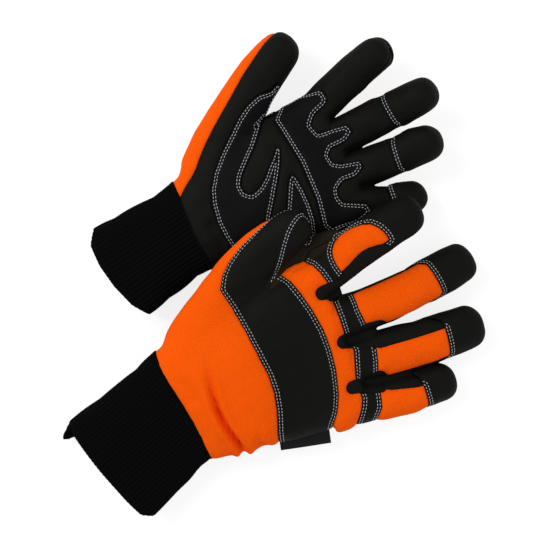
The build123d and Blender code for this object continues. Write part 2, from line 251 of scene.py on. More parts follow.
class Hand:
    """One glove's palm, fingers and thumb as tubes in the hand frame."""

    SHARES = (0.0, 0.25, 0.5, 0.8, 1.0)

    def __init__(self, sizes):
        self.sizes = sizes
        self.side = sizes.side
        self.sign = 1.0 if sizes.back_up else -1.0
        self.heading = math.radians(sizes.heading)
        self.wrist = self.find_wrist()
        self.palm = self.palm_tube()
        self.fingers = {name: self.finger_tube(name) for name in FINGERS}
        self.thumb = self.thumb_tube()
        self.web = self.web_tube() if sizes.back_up else None
        self.crotches = [self.crotch_tube(pair, reach) for pair, reach in sizes.crotches.items()]

    def find_wrist(self):
        """The middle of the wrist seam in the row frame: half a binding behind its box."""
        low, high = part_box(f"{self.side}_cuff_binding")
        middle = (np.array(low) + np.array(high)) / 2 / MM
        back = np.array([math.cos(self.heading), math.sin(self.heading)]) * BINDING_WIDTH / 2
        return np.array([middle[0] - back[0], middle[1] - back[1], 0.0])

    def to_row(self, points):
        """Hand frame in millimetres to row frame in metres."""
        c, s = math.cos(self.heading), math.sin(self.heading)
        turned = rows(points[..., 0] * c - points[..., 1] * s,
                      points[..., 0] * s + points[..., 1] * c, points[..., 2])
        return (turned + self.wrist) * MM

    def palm_section(self, share):
        sizes = self.sizes
        grown = np.interp(share, self.SHARES, (0.0, 0.3, 0.6, 0.93, 1.0))
        swell = np.interp(share, self.SHARES, (0.85, 0.97, 1.04, 1.0, 0.74))
        lean = np.interp(share, self.SHARES, (0.3, 0.55, 0.85, 1.0, 1.0))
        width = sizes.wrist_half_width + (sizes.knuckle_half_width - sizes.wrist_half_width) * grown
        height = sizes.half_height * swell
        roll = sizes.roll * lean
        deepest = np.where(share > 0.8, np.maximum(height, sizes.half_height), height)
        over_binding = WRIST_OVER_SURFACE * np.interp(share, self.SHARES, (1, 0, 0, 0, 0))
        middle = sizes.lift + over_binding + deepest + (width - deepest) * np.sin(np.radians(roll))
        return width, height, middle, roll

    def palm_tube(self):
        tip = PALM_LENGTH + np.array([0.0, 3.0, 5.0, 6.0])
        x = np.concatenate([[-7.0, -6.0], np.arange(-4.0, PALM_LENGTH, 2.0), tip])
        width, height, middle, roll = self.palm_section(np.clip(x / PALM_LENGTH, 0, 1))
        end = np.sqrt(np.clip(1 - ((x - PALM_LENGTH) / PALM_END) ** 2, 0.0, 1.0))
        end = np.where(x > PALM_LENGTH, end, 1.0)
        tube = Tube(rows(x, 0.0, middle), width - height * (1 - end), height * end, roll, PALM_SQUARENESS)
        tube.along = tube.along + x[0]
        return tube

    def on_middle(self, x, y):
        _, _, middle, roll = self.palm_section(x / PALM_LENGTH)
        return np.array([x, y, middle + y * math.sin(math.radians(roll))])

    def rounded(self, points, half_width, half_height, roll):
        """A limb whose tip is rounded off."""
        steps = np.linalg.norm(np.diff(points, axis=0), axis=1)
        along = np.concatenate([[0.0], np.cumsum(steps)])
        radius = half_height[-1] * 1.05
        left = (along[-1] - along) / radius
        fullness = np.clip(1 - (1 - np.minimum(left, 1.0)) ** TIP_SQUARENESS, 0.001, 1.0)
        shrink = fullness ** (1 / TIP_SQUARENESS)
        return Tube(points, half_width * shrink, half_height * shrink, roll, LIMB_SQUARENESS)

    def finger_tube(self, name):
        sizes = self.sizes
        number = FINGERS.index(name)
        lane = 2 * sizes.knuckle_half_width / len(FINGERS)
        y = sizes.knuckle_half_width - lane * (number + 0.5) + sizes.root_shifts[name]
        root = self.on_middle(PALM_LENGTH, y)
        path = bent_path(root, sizes.lengths[name], sizes.turns[name], sizes.pitches[name])
        first = unit(path[1] - path[0])
        inwards = unit(np.array([1.0, first[1] * 0.4, 0.0]))
        back = root - inwards * np.arange(FINGER_SUNK, 0.0, -SUNK_STEP)[:, None]
        points = np.vstack([back, path])
        share = np.concatenate([np.zeros(len(back)), np.linspace(0, 1, len(path))])
        tip_width = sizes.finger_half_width * sizes.width_shares[name]
        root_width = 0.49 * lane
        width = root_width + (tip_width - root_width) * smoothstep(0, 0.35, share)
        height = np.interp(share, (0, 0.3, 0.75, 1), (1.03, 1.0, 1.0, 0.97)) * FINGER_HALF_HEIGHT
        width = width * np.interp(share, (0, 0.6, 0.85, 1.0), (1, 1, 0.95, 0.84))
        height = height * np.interp(share, (0, 0.6, 1.0), (1, 1, 0.88))
        roll = sizes.roll + (sizes.finger_rolls[name] * 0.4 - sizes.roll) * share
        tube = self.rounded(points, width, height, roll)
        tube.along = tube.along - FINGER_SUNK
        return tube

    def crotch_tube(self, pair, reach):
        """The fold between two neighbouring fingers, out to this far from the knuckles."""
        along = np.linspace(CROTCH_START, reach, 24)
        sides = [self.fingers[name] for name in pair.split("_")]
        points = sum(
            rows(*[np.interp(along, tube.along, tube.points[:, k]) for k in range(3)]) for tube in sides
        ) / 2
        size = np.sqrt(np.clip((reach - along) / CROTCH_TAPER, 0.02, 1.0))
        width, height = CROTCH_HALF_SIZES
        return Tube(points, width * size, height * size, np.full(len(along), self.sizes.roll), 2.0)

    def web_tube(self):
        """The fold of palm between the thumb and the index finger."""
        path = np.array([
            self.on_middle(min(x, PALM_LENGTH), y) + (max(x - PALM_LENGTH, 0), 0, -drop)
            for x, y, drop in WEB_STATIONS
        ])
        share = np.linspace(0, 1, 48)
        points = rows(*[np.interp(share, np.linspace(0, 1, len(path)), path[:, k]) for k in range(3)])
        size = np.sin(math.pi * np.clip(share * 0.86 + 0.07, 0, 1)) ** 0.5
        width, height = WEB_HALF_SIZES
        return Tube(points, width * size, height * size, np.full(len(share), self.sizes.roll), 2.0)

    def thumb_tube(self):
        sizes = self.sizes
        root = self.on_middle(THUMB_START, THUMB_FROM_MIDDLE * sizes.wrist_half_width)
        path = bent_path(root, sizes.thumb_length, sizes.thumb_turn, sizes.thumb_pitch)
        first = unit(path[1] - path[0])
        back = root - first * np.arange(THUMB_SUNK, 0.0, -SUNK_STEP)[:, None]
        points = np.vstack([back, path])
        share = np.concatenate([np.zeros(len(back)), np.linspace(0, 1, len(path))])
        width = THUMB_HALF_WIDTHS[0] + (THUMB_HALF_WIDTHS[1] - THUMB_HALF_WIDTHS[0]) * share
        width = width * np.interp(share, (0, 0.7, 1.0), (1, 1, 0.86))
        width = width * np.concatenate([np.linspace(0.62, 0.98, len(back)), np.ones(len(path))])
        height = np.full(len(points), THUMB_HALF_HEIGHT)
        height = height * np.concatenate([np.linspace(0.7, 0.98, len(back)), np.ones(len(path))])
        tube = self.rounded(points, width, height, np.full(len(points), sizes.roll))
        tube.along = tube.along - THUMB_SUNK
        return tube


# --- Seams, as places in the hand frame --------------------------------------------------------------

# Lines across the back, as pairs of a place across the hand and how far out the line is there
BAND_START = ((-54, 50), (-45, 52.4), (-28.7, 58.6), (-15, 62.1), (-2.4, 62.9), (13.3, 61.9), (32.9, 60.4),
              (50.7, 58), (65.5, 55.2), (72, 53))
BAND_END = ((-60, 88), (-53.9, 91.2), (-45.3, 97.9), (-34.7, 103.2), (-17.7, 108.1), (-1.9, 110.2),
            (13.2, 110.5), (27.5, 109), (41.7, 105.9), (52.2, 102.8), (58.5, 98.6), (66, 93))
STRIP_START = ((-66, 105), (-59.1, 108.8), (-52.2, 114), (-44.7, 117.9), (-32.8, 118.4), (-21.9, 121.5),
               (-10, 125.8), (3, 123.7), (15.6, 124.5), (28.2, 125.3), (41.4, 126.3), (49.1, 124.3),
               (56.5, 121.3), (61.5, 116.6), (68, 112))
STRIP_END = ((-66, 120), (-63.9, 121.9), (-56.6, 128.1), (-48.6, 130.7), (-38.1, 132.9), (-24.3, 138),
             (-12.8, 141.3), (1.2, 140.4), (13.1, 139.4), (29.4, 140.3), (44.7, 138.4), (62.3, 138.2),
             (66, 143), (69, 149))
# The side walls end on the back in tongues, each along a line from its tip, widening from there
TONGUES = (((120, 35.7), (135, 33.8)), ((120.7, -1.9), (147.5, -5.6)), ((114.3, -34.9), (133, -39)))
TONGUE_HALF_WIDTH, TONGUE_SPREAD, TONGUE_SPREAD_LENGTH = 4.8, 0.16, 20
# Where the knit back of each finger starts and ends round the finger, in degrees from the thumb's side
BACK_EDGES = {
    "index": (((0, 10), (30, 20), (46, 38), (53, 57)),
              ((0, 155), (10, 130), (17, 114), (30, 108), (42, 103), (50, 112))),
    "middle": (((0, 22), (20, 17)), ((0, 154), (20, 152), (80, 156))),
    "ring": (((0, 25), (12, 45), (24, 62)), ((0, 158), (12, 150), (80, 144))),
    "little": (((0, 25), (10, 40), (20, 54), (40, 66)), ((-12, 178), (25, 188))),
}
PLAIN_BACK_EDGES = (((0, 22), (20, 25)), ((0, 158), (20, 155)))
# Where the side walls of each finger meet the palm's cloth, round the finger
FRONT_EDGES = (-35.0, 215.0)
# Where the knit back starts round the palm, as pairs along the hand, and where it ends
PALM_BACK_START, PALM_BACK_END = ((0, -40), (30, -40), (56, -20), (66, 14), (118, 14)), 178.0
# Where each cap starts along its finger, as shares of its length on the back and on the palm's side, and
# how far it slants over the finger's half width
CAPS = {
    "index": (0.59, 1.5, -5),
    "middle": (0.707, 0.56, -1),
    "ring": (0.71, 0.52, 1),
    "little": (0.63, 0.43, -1),
}
# How far out along the hand a point must be to lie on a cap or on a side wall
CAPS_BEYOND, SIDES_BEYOND = 125, 116
# Outlines of the patches on the palm, the heel and the thumb's root, and of the knit on the index finger
PALM_PATCH = (
    (95, 49.8), (111.2, 50.3), (126.1, 48.1), (127.6, 41), (125.1, 37.4), (113.9, 33.8), (108.9, 28.2),
    (111, 20.8), (131.8, 17.5), (133.9, 11.7), (127.2, 7.7), (115, 7), (110.9, 3.4), (112, -2.8),
    (116.9, -5.9), (129.6, -9.4), (130.4, -14.6), (123.1, -18.3), (113, -17.6), (106.7, -21),
    (105.2, -25.9), (106.6, -31.4), (121.4, -39.1), (122.8, -44.5), (120, -47.2), (109.3, -47.8),
    (97.7, -47.1), (89.9, -46.7), (86.2, -41), (87.9, -32.2), (89.9, -21.2), (90.7, 6.4), (88.5, 27.3),
    (86.8, 42.5),
)
THUMB_PATCH = (
    (93.1, 62.7), (83.7, 63.1), (73.4, 59.9), (63.2, 53.5), (53.1, 45.4), (42.7, 36.7), (32, 25.8),
    (25.4, 16.9), (21.5, 6.7), (19.3, -6.6), (19.6, -17.9), (20.8, -25.6), (24, -38), (38, -40), (50, -36),
    (54.3, -20.5), (60.8, -11.6), (69.5, 0.3), (77.6, 12.5), (82.2, 22.3), (80.8, 24.5), (73.3, 16.9),
    (64.5, 8.2), (56.2, 2.5), (49.8, 0.7), (45.8, 4.2), (45.3, 10), (48.7, 15.6), (57.3, 23.6), (66.7, 31.9),
    (75.2, 41.5), (80.2, 48.8), (88, 47), (98, 55), (101, 66),
)
HEEL_PATCH = (
    (58, -46), (61, -33), (66.9, -20.8), (72.1, -11.3), (77.7, -1.1), (81.8, 2.6), (83.5, -2.2),
    (84.4, -12.2), (84.4, -22.6), (83.1, -34), (79.2, -45.7),
)
CRESCENT = (
    (137.8, 44.2), (136.4, 50), (136.2, 56), (137.6, 61), (140.6, 65), (145.5, 68), (151, 69.4),
    (157.5, 70), (164.1, 69.5), (169.6, 67.2), (173.7, 62.5), (176.2, 57), (177.3, 51.6), (172, 51),
    (166.4, 51.9), (161, 52.4), (155.5, 51.6), (150, 49.6), (144.5, 46.8),
)
PATCHES = {"palm_patch": PALM_PATCH, "thumb_patch": THUMB_PATCH, "heel_patch": HEEL_PATCH}
# A patch stays on the palm's side: its field falls as the surface turns away from there
PATCH_EDGE_FALL, PATCH_EDGE_DROP = 8.0, 0.8
# Half widths at the knuckles of the hands that the lines on the back and the patches are drawn for
BACK_KNUCKLE_HALF_WIDTH, PATCH_KNUCKLE_HALF_WIDTH = 60.0, 51.0
# Edges of the knit strip on the thumb: round it on the left glove's back, and drawn for the other sides
THUMB_EDGE = ((25, -0.1), (33, 0.15), (48, 0.37), (70, 0.66), (90, 0.86), (104, 1.0))
BACK_THUMB_EDGE = (
    (-10, 40), (20, 48), (40, 55), (54.6, 64.6), (60.6, 74.7), (68, 81.1), (77.6, 87), (88, 91.4),
    (96, 94.4), (104, 96.8), (110.9, 98.6), (128, 103),
)
# The double row that is sewn round the end of the right thumb
THUMB_LINE = (
    (88.5, 57.0), (91.5, 61.5), (99.5, 69.6), (106.2, 78.1), (113, 85.5), (118.9, 90.2), (124, 92.9),
    (128.5, 92.6), (131.5, 89.5), (132.6, 84.5),
)
# Where the knit back ends beside the fold at the root of the thumb
WEB_EDGE = (
    (80, 47), (88, 53), (94, 56.6), (99.5, 59.2), (104, 60.9), (109.5, 61.6), (115.4, 60.6), (124, 57),
)
PALM_THUMB_EDGE = (
    (-4, 16), (8.3, 26.4), (20.4, 35.2), (31.7, 45.8), (44.4, 55.9), (59, 66.6), (77.4, 80.4),
    (92.6, 89.6), (104.1, 96.2), (110, 98.6), (117, 100.4), (126, 102),
)
# Radii that turn degrees round a limb into millimetres along its surface
LIMB_RADIUS, THUMB_RADIUS, PALM_RADIUS = 14.0, 15.0, 26.0
# What a field says where its seam can't be
AWAY = 5.0


def table(pairs, x):
    return np.interp(x, [a for a, _ in pairs], [b for _, b in pairs])


def arc(degrees, radius):
    return degrees * (np.radians(1.0) * radius)


def inside_outline(x, y, outline, closed=True):
    """Distance to an outline, positive inside it, or to the left of an open one."""
    corners = np.array(outline, float)
    ends = np.roll(corners, -1, axis=0) if closed else corners[1:]
    starts = corners if closed else corners[:-1]
    nearest = np.full(len(x), np.inf)
    side = np.zeros(len(x))
    crossings = np.zeros(len(x), int)
    for (ax, ay), (bx, by) in zip(starts, ends):
        dx, dy = bx - ax, by - ay
        share = np.clip(((x - ax) * dx + (y - ay) * dy) / (dx * dx + dy * dy), 0, 1)
        distance = np.hypot(x - ax - share * dx, y - ay - share * dy)
        closer = distance < nearest
        nearest[closer] = distance[closer]
        side[closer] = np.sign(dx * (y - ay) - dy * (x - ax))[closer]
        if closed:
            crosses = (ay > y) != (by > y)
            crossings += crosses & (x < ax + dx * (y - ay) / (dy if dy else 1e-9))
    return nearest * (np.where(crossings % 2, 1, -1) if closed else side)


class Seams:
    """The fields of one hand at some points of its surface."""

    def __init__(self, hand, points, normals):
        self.hand = hand
        self.x, self.y = points[:, 0], points[:, 1]
        self.facing = hand.sign * normals[:, 2]
        _, self.palm_turn, self.palm_reach = self.around(hand.palm, points)
        self.limbs = [self.around(hand.fingers[name], points) for name in FINGERS]
        self.finger_reaches = np.stack([reach for _, _, reach in self.limbs])
        self.finger = self.finger_reaches.argmin(0)
        self.finger_turn = np.choose(self.finger, [turn for _, turn, _ in self.limbs])

        self.across = self.y / (hand.sizes.knuckle_half_width / BACK_KNUCKLE_HALF_WIDTH)
        self.band_start = self.x - table(BAND_START, self.across)
        self.band_end = self.x - table(BAND_END, self.across)
        self.strip_start = self.x - table(STRIP_START, self.across)
        self.strip_end = self.x - table(STRIP_END, self.across)
        self.tongue, self.tongue_of = self.find_tongues()
        self.back = self.find_back()
        front = np.minimum(self.finger_turn - FRONT_EDGES[0], FRONT_EDGES[1] - self.finger_turn)
        self.front = arc(front, LIMB_RADIUS)
        self.cap = self.find_caps()
        crescent = inside_outline(self.x, self.y, CRESCENT)
        on_index_back = (self.finger == 0) & (self.facing > 0) & hand.sizes.back_up
        self.crescent = np.where(on_index_back, crescent, -AWAY)
        self.thumb, self.thumb_strip = self.find_thumb(*self.around(hand.thumb, points))
        scale = PATCH_KNUCKLE_HALF_WIDTH / hand.sizes.knuckle_half_width
        below = -PATCH_EDGE_FALL * self.facing - PATCH_EDGE_DROP
        self.patches = [
            np.minimum(inside_outline(self.x, self.y * scale, outline), below) for outline in PATCHES.values()
        ]

    def around(self, tube, points):
        """Along the tube, round it in degrees (0 thumb side, 90 back) and out from its axis."""
        along, across, over, width, height = tube.local(points)
        turn = np.degrees(np.arctan2(self.hand.sign * over / height, across / width))
        return along, np.where(turn < -90, turn + 360, turn), np.hypot(over / height, across / width)

    def find_tongues(self):
        """Distance from the nearest tongue between two fingers, and that tongue's number."""
        nearest = np.full(len(self.x), np.inf)
        number_of = np.zeros(len(self.x), int)
        for number, (start, end) in enumerate(TONGUES):
            spread = TONGUE_SPREAD * np.clip(self.x - start[0], 0, TONGUE_SPREAD_LENGTH)
            off_line = np.abs(inside_outline(self.x, self.across, (start, end), closed=False))
            gap = off_line - TONGUE_HALF_WIDTH - spread
            number_of[gap < nearest] = number
            nearest = np.minimum(nearest, gap)
        return np.where(self.facing > -0.2, nearest, AWAY), number_of

    def find_back(self):
        """Distance inside the knit back, between two turns round the palm and round each finger."""
        x, y, facing, palm_turn = self.x, self.y, self.facing, self.palm_turn
        lows, highs = [], []
        for name, (along, turn, _) in zip(FINGERS, self.limbs):
            low, high = BACK_EDGES[name] if self.hand.sizes.back_up else PLAIN_BACK_EDGES
            lows.append(arc(turn - table(low, along), LIMB_RADIUS))
            highs.append(arc(table(high, along) - turn, LIMB_RADIUS))
        finger_back = np.minimum(np.choose(self.finger, lows), np.choose(self.finger, highs))
        to_end = PALM_BACK_END - palm_turn
        palm_back = arc(np.minimum(palm_turn - table(PALM_BACK_START, x), to_end), PALM_RADIUS)
        if self.hand.sizes.back_up:
            beside_web = smoothstep(84, 91, x) * (y > 25) * (facing > 0)
            below_fold = -inside_outline(x, y, WEB_EDGE, closed=False)
            palm_back = palm_back + (np.minimum(below_fold, to_end) - palm_back) * beside_web
        else:
            outline = inside_outline(x, y, PALM_THUMB_EDGE, closed=False)
            palm_back = np.where((facing < 0.1) & (x < 66) & (y > 0), outline, palm_back)
        return palm_back + (finger_back - palm_back) * smoothstep(110, 124, x)

    def find_caps(self):
        """Distance past the start of the fingertip cap."""
        caps = []
        for name, (along, turn, _) in zip(FINGERS, self.limbs):
            on_back, on_front, slant = CAPS[name]
            height = np.clip(1.5 * np.sin(np.radians(turn)), -1, 1)
            start = (on_back + on_front + (on_back - on_front) * height) / 2
            slant = slant * np.cos(np.radians(turn))
            caps.append(along - start * self.hand.sizes.lengths[name] - slant)
        return np.where(self.x > CAPS_BEYOND, np.choose(self.finger, caps), -AWAY)

    def find_thumb(self, along, turn, reach):
        """Distance inside the thumb, and inside the knit strip on its outer side."""
        fingers = np.where(self.x > 100, self.finger_reaches.min(0), np.inf)
        nearest = np.minimum(self.palm_reach, fingers)
        thumb = np.where(along > 5, (nearest - reach) * LIMB_RADIUS, -AWAY)
        if self.hand.sizes.back_up:
            outline = inside_outline(self.x, self.y, BACK_THUMB_EDGE, closed=False)
            upper = np.where(self.facing > -0.1, outline, AWAY)
            lower = arc(turn + 32.0, THUMB_RADIUS)
        else:
            edge = np.degrees(np.arccos(np.clip(table(THUMB_EDGE, along), -1, 1)))
            upper = arc(edge - turn, THUMB_RADIUS)
            outline = inside_outline(self.x, self.y, PALM_THUMB_EDGE, closed=False)
            lower = np.where(self.facing < 0.1, outline, AWAY)
        upper = np.where(self.facing > 0, np.maximum(upper, -self.band_start), upper)
        return thumb, np.minimum(upper, lower)

    def cuts(self):
        return [self.band_start, self.band_end, self.strip_start, self.strip_end, self.tongue, self.back,
                self.front, self.cap, self.crescent, self.thumb, self.thumb_strip, *self.patches]


def labels_of(mean, finger, tongue_of, turn, has_crescent):
    """The panel that each triangle belongs to, from the fields' means over it."""
    (x, band_start, band_end, strip_start, strip_end, tongue, back, front, cap, crescent, thumb, strip,
     palm_patch, thumb_patch, heel_patch) = mean
    label = np.full(len(x), "palm_panel", dtype="U24")
    names = np.array(FINGERS)
    pairs = np.array(["fourchette_index_middle", "fourchette_middle_ring", "fourchette_ring_little"])
    hand = thumb < 0
    # The gap that a finger's side wall faces, counted from the thumb
    gap = finger - (turn < 90)
    side = (front > 0) & (x > SIDES_BEYOND) & (gap >= 0) & (gap < len(pairs)) & hand
    label[side] = pairs[np.clip(gap, 0, len(pairs) - 1)][side]
    on_back = (back > 0) & hand
    in_tongue = on_back & (tongue < 0)
    label[in_tongue] = pairs[tongue_of][in_tongue]
    on_back &= tongue >= 0
    label[on_back & (band_start < 0)] = "back_gauntlet"
    label[on_back & (band_start > 0) & (band_end < 0)] = "knuckle_band"
    label[on_back & (band_end > 0) & (strip_start < 0)] = "knuckle_panel"
    strips = on_back & (strip_start > 0) & (strip_end < 0)
    label[strips] = np.char.add("strip_", names[finger])[strips]
    backs = on_back & (strip_start > 0) & (strip_end > 0)
    if has_crescent:
        backs &= finger != 0
    label[backs] = np.char.add("back_", names[finger])[backs]
    caps = (cap > 0) & hand
    label[caps] = np.char.add("cap_", names[finger])[caps]
    label[(crescent > 0) & hand] = "back_index"
    label[~hand] = "thumb"
    label[~hand & (strip > 0)] = "thumb_back"
    label[palm_patch > 0] = "palm_patch"
    label[thumb_patch > 0] = "thumb_patch"
    label[heel_patch > 0] = "heel_patch"
    return label


# --- Meshes ------------------------------------------------------------------------------------------


def new_object(name, points, faces):
    mesh = bpy.data.meshes.new(name)
    faces = faces.tolist() if isinstance(faces, np.ndarray) else faces
    mesh.from_pydata(np.asarray(points, float).tolist(), [], faces)
    mesh.update()
    piece = bpy.data.objects.new(name, mesh)
    bpy.context.scene.collection.objects.link(piece)
    return piece


def only(*pieces):
    """Selects these objects and nothing else; the last is active."""
    bpy.ops.object.select_all(action="DESELECT")
    for piece in pieces:
        piece.select_set(True)
    bpy.context.view_layer.objects.active = pieces[-1]


def finish_applied(piece):
    """Applies the modifiers that a piece already has."""
    only(piece)
    for modifier in list(piece.modifiers):
        bpy.ops.object.modifier_apply(modifier=modifier.name)


def finish_modifier(piece, kind, **settings):
    """Adds a modifier to the piece and applies it."""
    only(piece)
    bpy.ops.object.modifier_add(type=kind)
    modifier = piece.modifiers[-1]
    for name, value in settings.items():
        setattr(modifier, name, value)
    bpy.ops.object.modifier_apply(modifier=modifier.name)


def arrays(piece):
    """Points, their normals and the triangles of a mesh of triangles or quads."""
    mesh = piece.data
    points = np.empty(len(mesh.vertices) * 3)
    mesh.vertices.foreach_get("co", points)
    mesh.calc_loop_triangles()
    triangles = np.empty(len(mesh.loop_triangles) * 3, int)
    mesh.loop_triangles.foreach_get("vertices", triangles)
    points, triangles = points.reshape(-1, 3), triangles.reshape(-1, 3)
    return points, normals_of(points, triangles), triangles


def normals_of(points, triangles):
    corners = points[triangles]
    faces = np.cross(corners[:, 1] - corners[:, 0], corners[:, 2] - corners[:, 0])
    normals = np.zeros_like(points)
    for k in range(3):
        np.add.at(normals, triangles[:, k], faces)
    return unit(normals)


def remeshed(hand, voxel, smoothing, drawn_in=0.0):
    """The palm, fingers and thumb, each drawn in by this much, grown together into one surface."""
    tubes = [hand.palm, *hand.fingers.values(), hand.thumb]
    if hand.web and not drawn_in:
        tubes += [hand.web, *hand.crotches]
    pieces = []
    for number, tube in enumerate(tubes):
        pieces.append(new_object(f"{hand.side}_form_{number}", *tube.mesh(drawn_in=drawn_in)))
    only(*pieces)
    bpy.ops.object.join()
    piece = bpy.context.active_object
    piece.data.remesh_voxel_size = voxel
    bpy.ops.object.voxel_remesh()
    finish_modifier(piece, "SMOOTH", factor=0.5, iterations=smoothing)
    return piece


def sides_of(triangles):
    return np.concatenate([triangles[:, [0, 1]], triangles[:, [1, 2]], triangles[:, [2, 0]]])


def relaxed(values, triangles, weight, rounds):
    """Rows of values pulled towards the mean of their neighbours, each by its own weight."""
    edges = np.unique(np.sort(sides_of(triangles), axis=1), axis=0)
    a, b = np.concatenate([edges[:, 0], edges[:, 1]]), np.concatenate([edges[:, 1], edges[:, 0]])
    count = np.bincount(a, minlength=len(values))[:, None]
    for _ in range(rounds):
        total = np.stack([np.bincount(a, column[b], len(values)) for column in values.T], -1)
        values = values + (total / count - values) * weight[:, None]
    return values


def tree_of(points, chosen):
    """A search tree over the chosen points."""
    tree = KDTree(len(chosen))
    for k in chosen:
        tree.insert(points[k], k)
    tree.balance()
    return tree


# The stuffing: a coarse copy of the form is blown up as cloth that is held along its seams. The cloth
# is simulated in units of a centimetre, at which its usual weight and stiffness suit the pressure.
STUFFING_VOXEL = 5.0
STUFFING_SMOOTHING = 6
STUFFING_PRESSURE = 0.4
STUFFING_SCALE = 0.1
STUFFING_FRAMES = 20
# A point is held fast this near to a seam, and free this far from it
SEAM_HOLDS, SEAM_FREES = 2.5, 8.0
MOST_SWELL, MOST_SINK = 1.6, 0.3
# How the swell is evened out over the fine surface
SWELL_WEIGHT, SWELL_ROUNDS = 0.6, 6


def stuffed(hand, points):
    """How far the stuffing pushes each point of the hand outwards, in millimetres."""
    piece = remeshed(hand, STUFFING_VOXEL, STUFFING_SMOOTHING)
    start, normals, _ = arrays(piece)
    seams = Seams(hand, start, normals)
    lines = [seams.band_start, seams.band_end, seams.back, seams.cap, seams.thumb_strip]
    gap = np.abs(np.stack(lines)).min(0)
    held = piece.vertex_groups.new(name="seams")
    for k, weight in enumerate(smoothstep(SEAM_FREES, SEAM_HOLDS, gap).tolist()):
        if weight > 0:
            held.add([k], weight, "REPLACE")
    piece.data.vertices.foreach_set("co", (start * STUFFING_SCALE).ravel())
    cloth = piece.modifiers.new("stuffing", "CLOTH")
    cloth.settings.vertex_group_mass = "seams"
    cloth.settings.use_pressure = True
    cloth.settings.uniform_pressure_force = STUFFING_PRESSURE
    cloth.settings.effector_weights.gravity = 0.0
    cloth.point_cache.frame_start, cloth.point_cache.frame_end = 1, STUFFING_FRAMES
    scene = bpy.context.scene
    for frame_number in range(1, STUFFING_FRAMES + 1):
        scene.frame_set(frame_number)
    finish_applied(piece)
    scene.frame_set(1)
    moved = np.empty(len(start) * 3)
    piece.data.vertices.foreach_get("co", moved)
    out = ((moved.reshape(-1, 3) / STUFFING_SCALE - start) * normals).sum(1)
    out = np.clip(out, -MOST_SINK, MOST_SWELL)
    bpy.data.objects.remove(piece)
    tree = tree_of(start, range(len(start)))
    swell = np.empty(len(points))
    for k, point in enumerate(points.tolist()):
        near = tree.find_n(point, 4)
        weights = [1.0 / (distance + 0.5) for _, _, distance in near]
        swell[k] = sum(weight * out[found[1]] for weight, found in zip(weights, near)) / sum(weights)
    return swell


# A cut that crosses an edge nearer to its end than this share goes through the end instead
SNAP_SHARE = 0.14


def cut_along(data, triangles, field):
    """Splits the triangles where a column of the data changes sign; data follows linearly."""
    value = data[:, field].copy()
    edges = sides_of(triangles)
    a, b = value[edges[:, 0]], value[edges[:, 1]]
    crosses = a * b < 0
    share = np.where(crosses, a / np.where(a == b, 1, a - b), 0.5)
    at_start, at_end = crosses & (share < SNAP_SHARE), crosses & (share > 1 - SNAP_SHARE)
    value[np.concatenate([edges[at_start, 0], edges[at_end, 1]])] = 0.0
    data[:, field] = value
    sign = np.sign(value)[triangles]
    split = (sign.min(1) < 0) & (sign.max(1) > 0)
    kept, work = triangles[~split], triangles[split]
    if not len(work):
        return data, triangles
    edges = sides_of(work)
    a, b = value[edges[:, 0]], value[edges[:, 1]]
    ordered = np.sort(edges[a * b < 0], axis=1)
    keys = np.unique(ordered[:, 0] * len(data) + ordered[:, 1])
    low, high = keys // len(data), keys % len(data)
    share = (value[low] / (value[low] - value[high]))[:, None]
    added = data[low] + (data[high] - data[low]) * share
    added[:, field] = 0.0
    number = dict(zip(keys.tolist(), range(len(data), len(data) + len(keys))))
    count = len(data)

    def cross(p, q):
        return number[min(p, q) * count + max(p, q)]

    made = []
    for corners in work.tolist():
        signs = [value[k] for k in corners]
        zero = [k for k in range(3) if signs[k] == 0]
        if zero:
            k = zero[0]
            p, q, r = corners[k], corners[(k + 1) % 3], corners[(k + 2) % 3]
            m = cross(q, r)
            made += [(p, q, m), (p, m, r)]
            continue
        positive = [s > 0 for s in signs]
        k = next(k for k in range(3) if positive.count(positive[k]) == 1)
        p, q, r = corners[k], corners[(k + 1) % 3], corners[(k + 2) % 3]
        m, n = cross(p, q), cross(p, r)
        made += [(p, m, n), (m, q, r), (m, r, n)]
    return np.vstack([data, added]), np.vstack([kept, np.array(made, int)])


# --- Panels ------------------------------------------------------------------------------------------

# Per kind of panel: how far the padding puffs it, over what width, and how far it stands over its neighbours
PANEL_FORM = {
    "back_gauntlet": (2.6, 9.0, 0.0),
    "knuckle_band": (0.9, 8.0, 0.6),
    "knuckle_panel": (2.6, 5.0, 0.0),
    "strip": (0.4, 4.0, 0.35),
    "finger_back": (2.0, 4.5, 0.0),
    "cap": (0.4, 5.0, 0.3),
    "fourchette": (0.2, 3.0, -0.5),
    "palm_panel": (1.3, 7.0, 0.0),
    "patch": (0.7, 4.0, 0.9),
}
# Rows of stitches: on a panel, along its seam with others, and this far from the seam
STITCH_ROWS = (
    ("knuckle_band", ("back_gauntlet", "knuckle_panel"), (1.3, 3.4)),
    ("strip", ("knuckle_panel", "finger_back"), (1.2, 3.1)),
    ("cap", ("finger_back",), (1.2, 3.1)),
    ("cap_middle", ("palm_panel",), (1.2, 3.1)),
    ("cap_ring", ("palm_panel",), (1.2, 3.1)),
    ("cap_little", ("palm_panel",), (1.2, 3.1)),
    ("palm_panel", ("back_index",), (1.2, 3.1)),
    ("palm_panel", ("back_gauntlet",), (1.3, 3.4)),
    ("patch", ("palm_panel", "fourchette"), (1.2, 2.9)),
)
# Panels that are cut in one piece with another
ONE_PIECE = {"thumb_back": "back_gauntlet", "thumb": "palm_panel"}
# How deep and how wide the groove of a plain seam is, and over what width a raised edge rounds off
SEAM_DEPTH, SEAM_WIDTH = 0.8, 0.9
# How deep and how wide a row of stitches pulls the cloth in
ROW_DEPTH, ROW_WIDTH = 0.35, 0.7
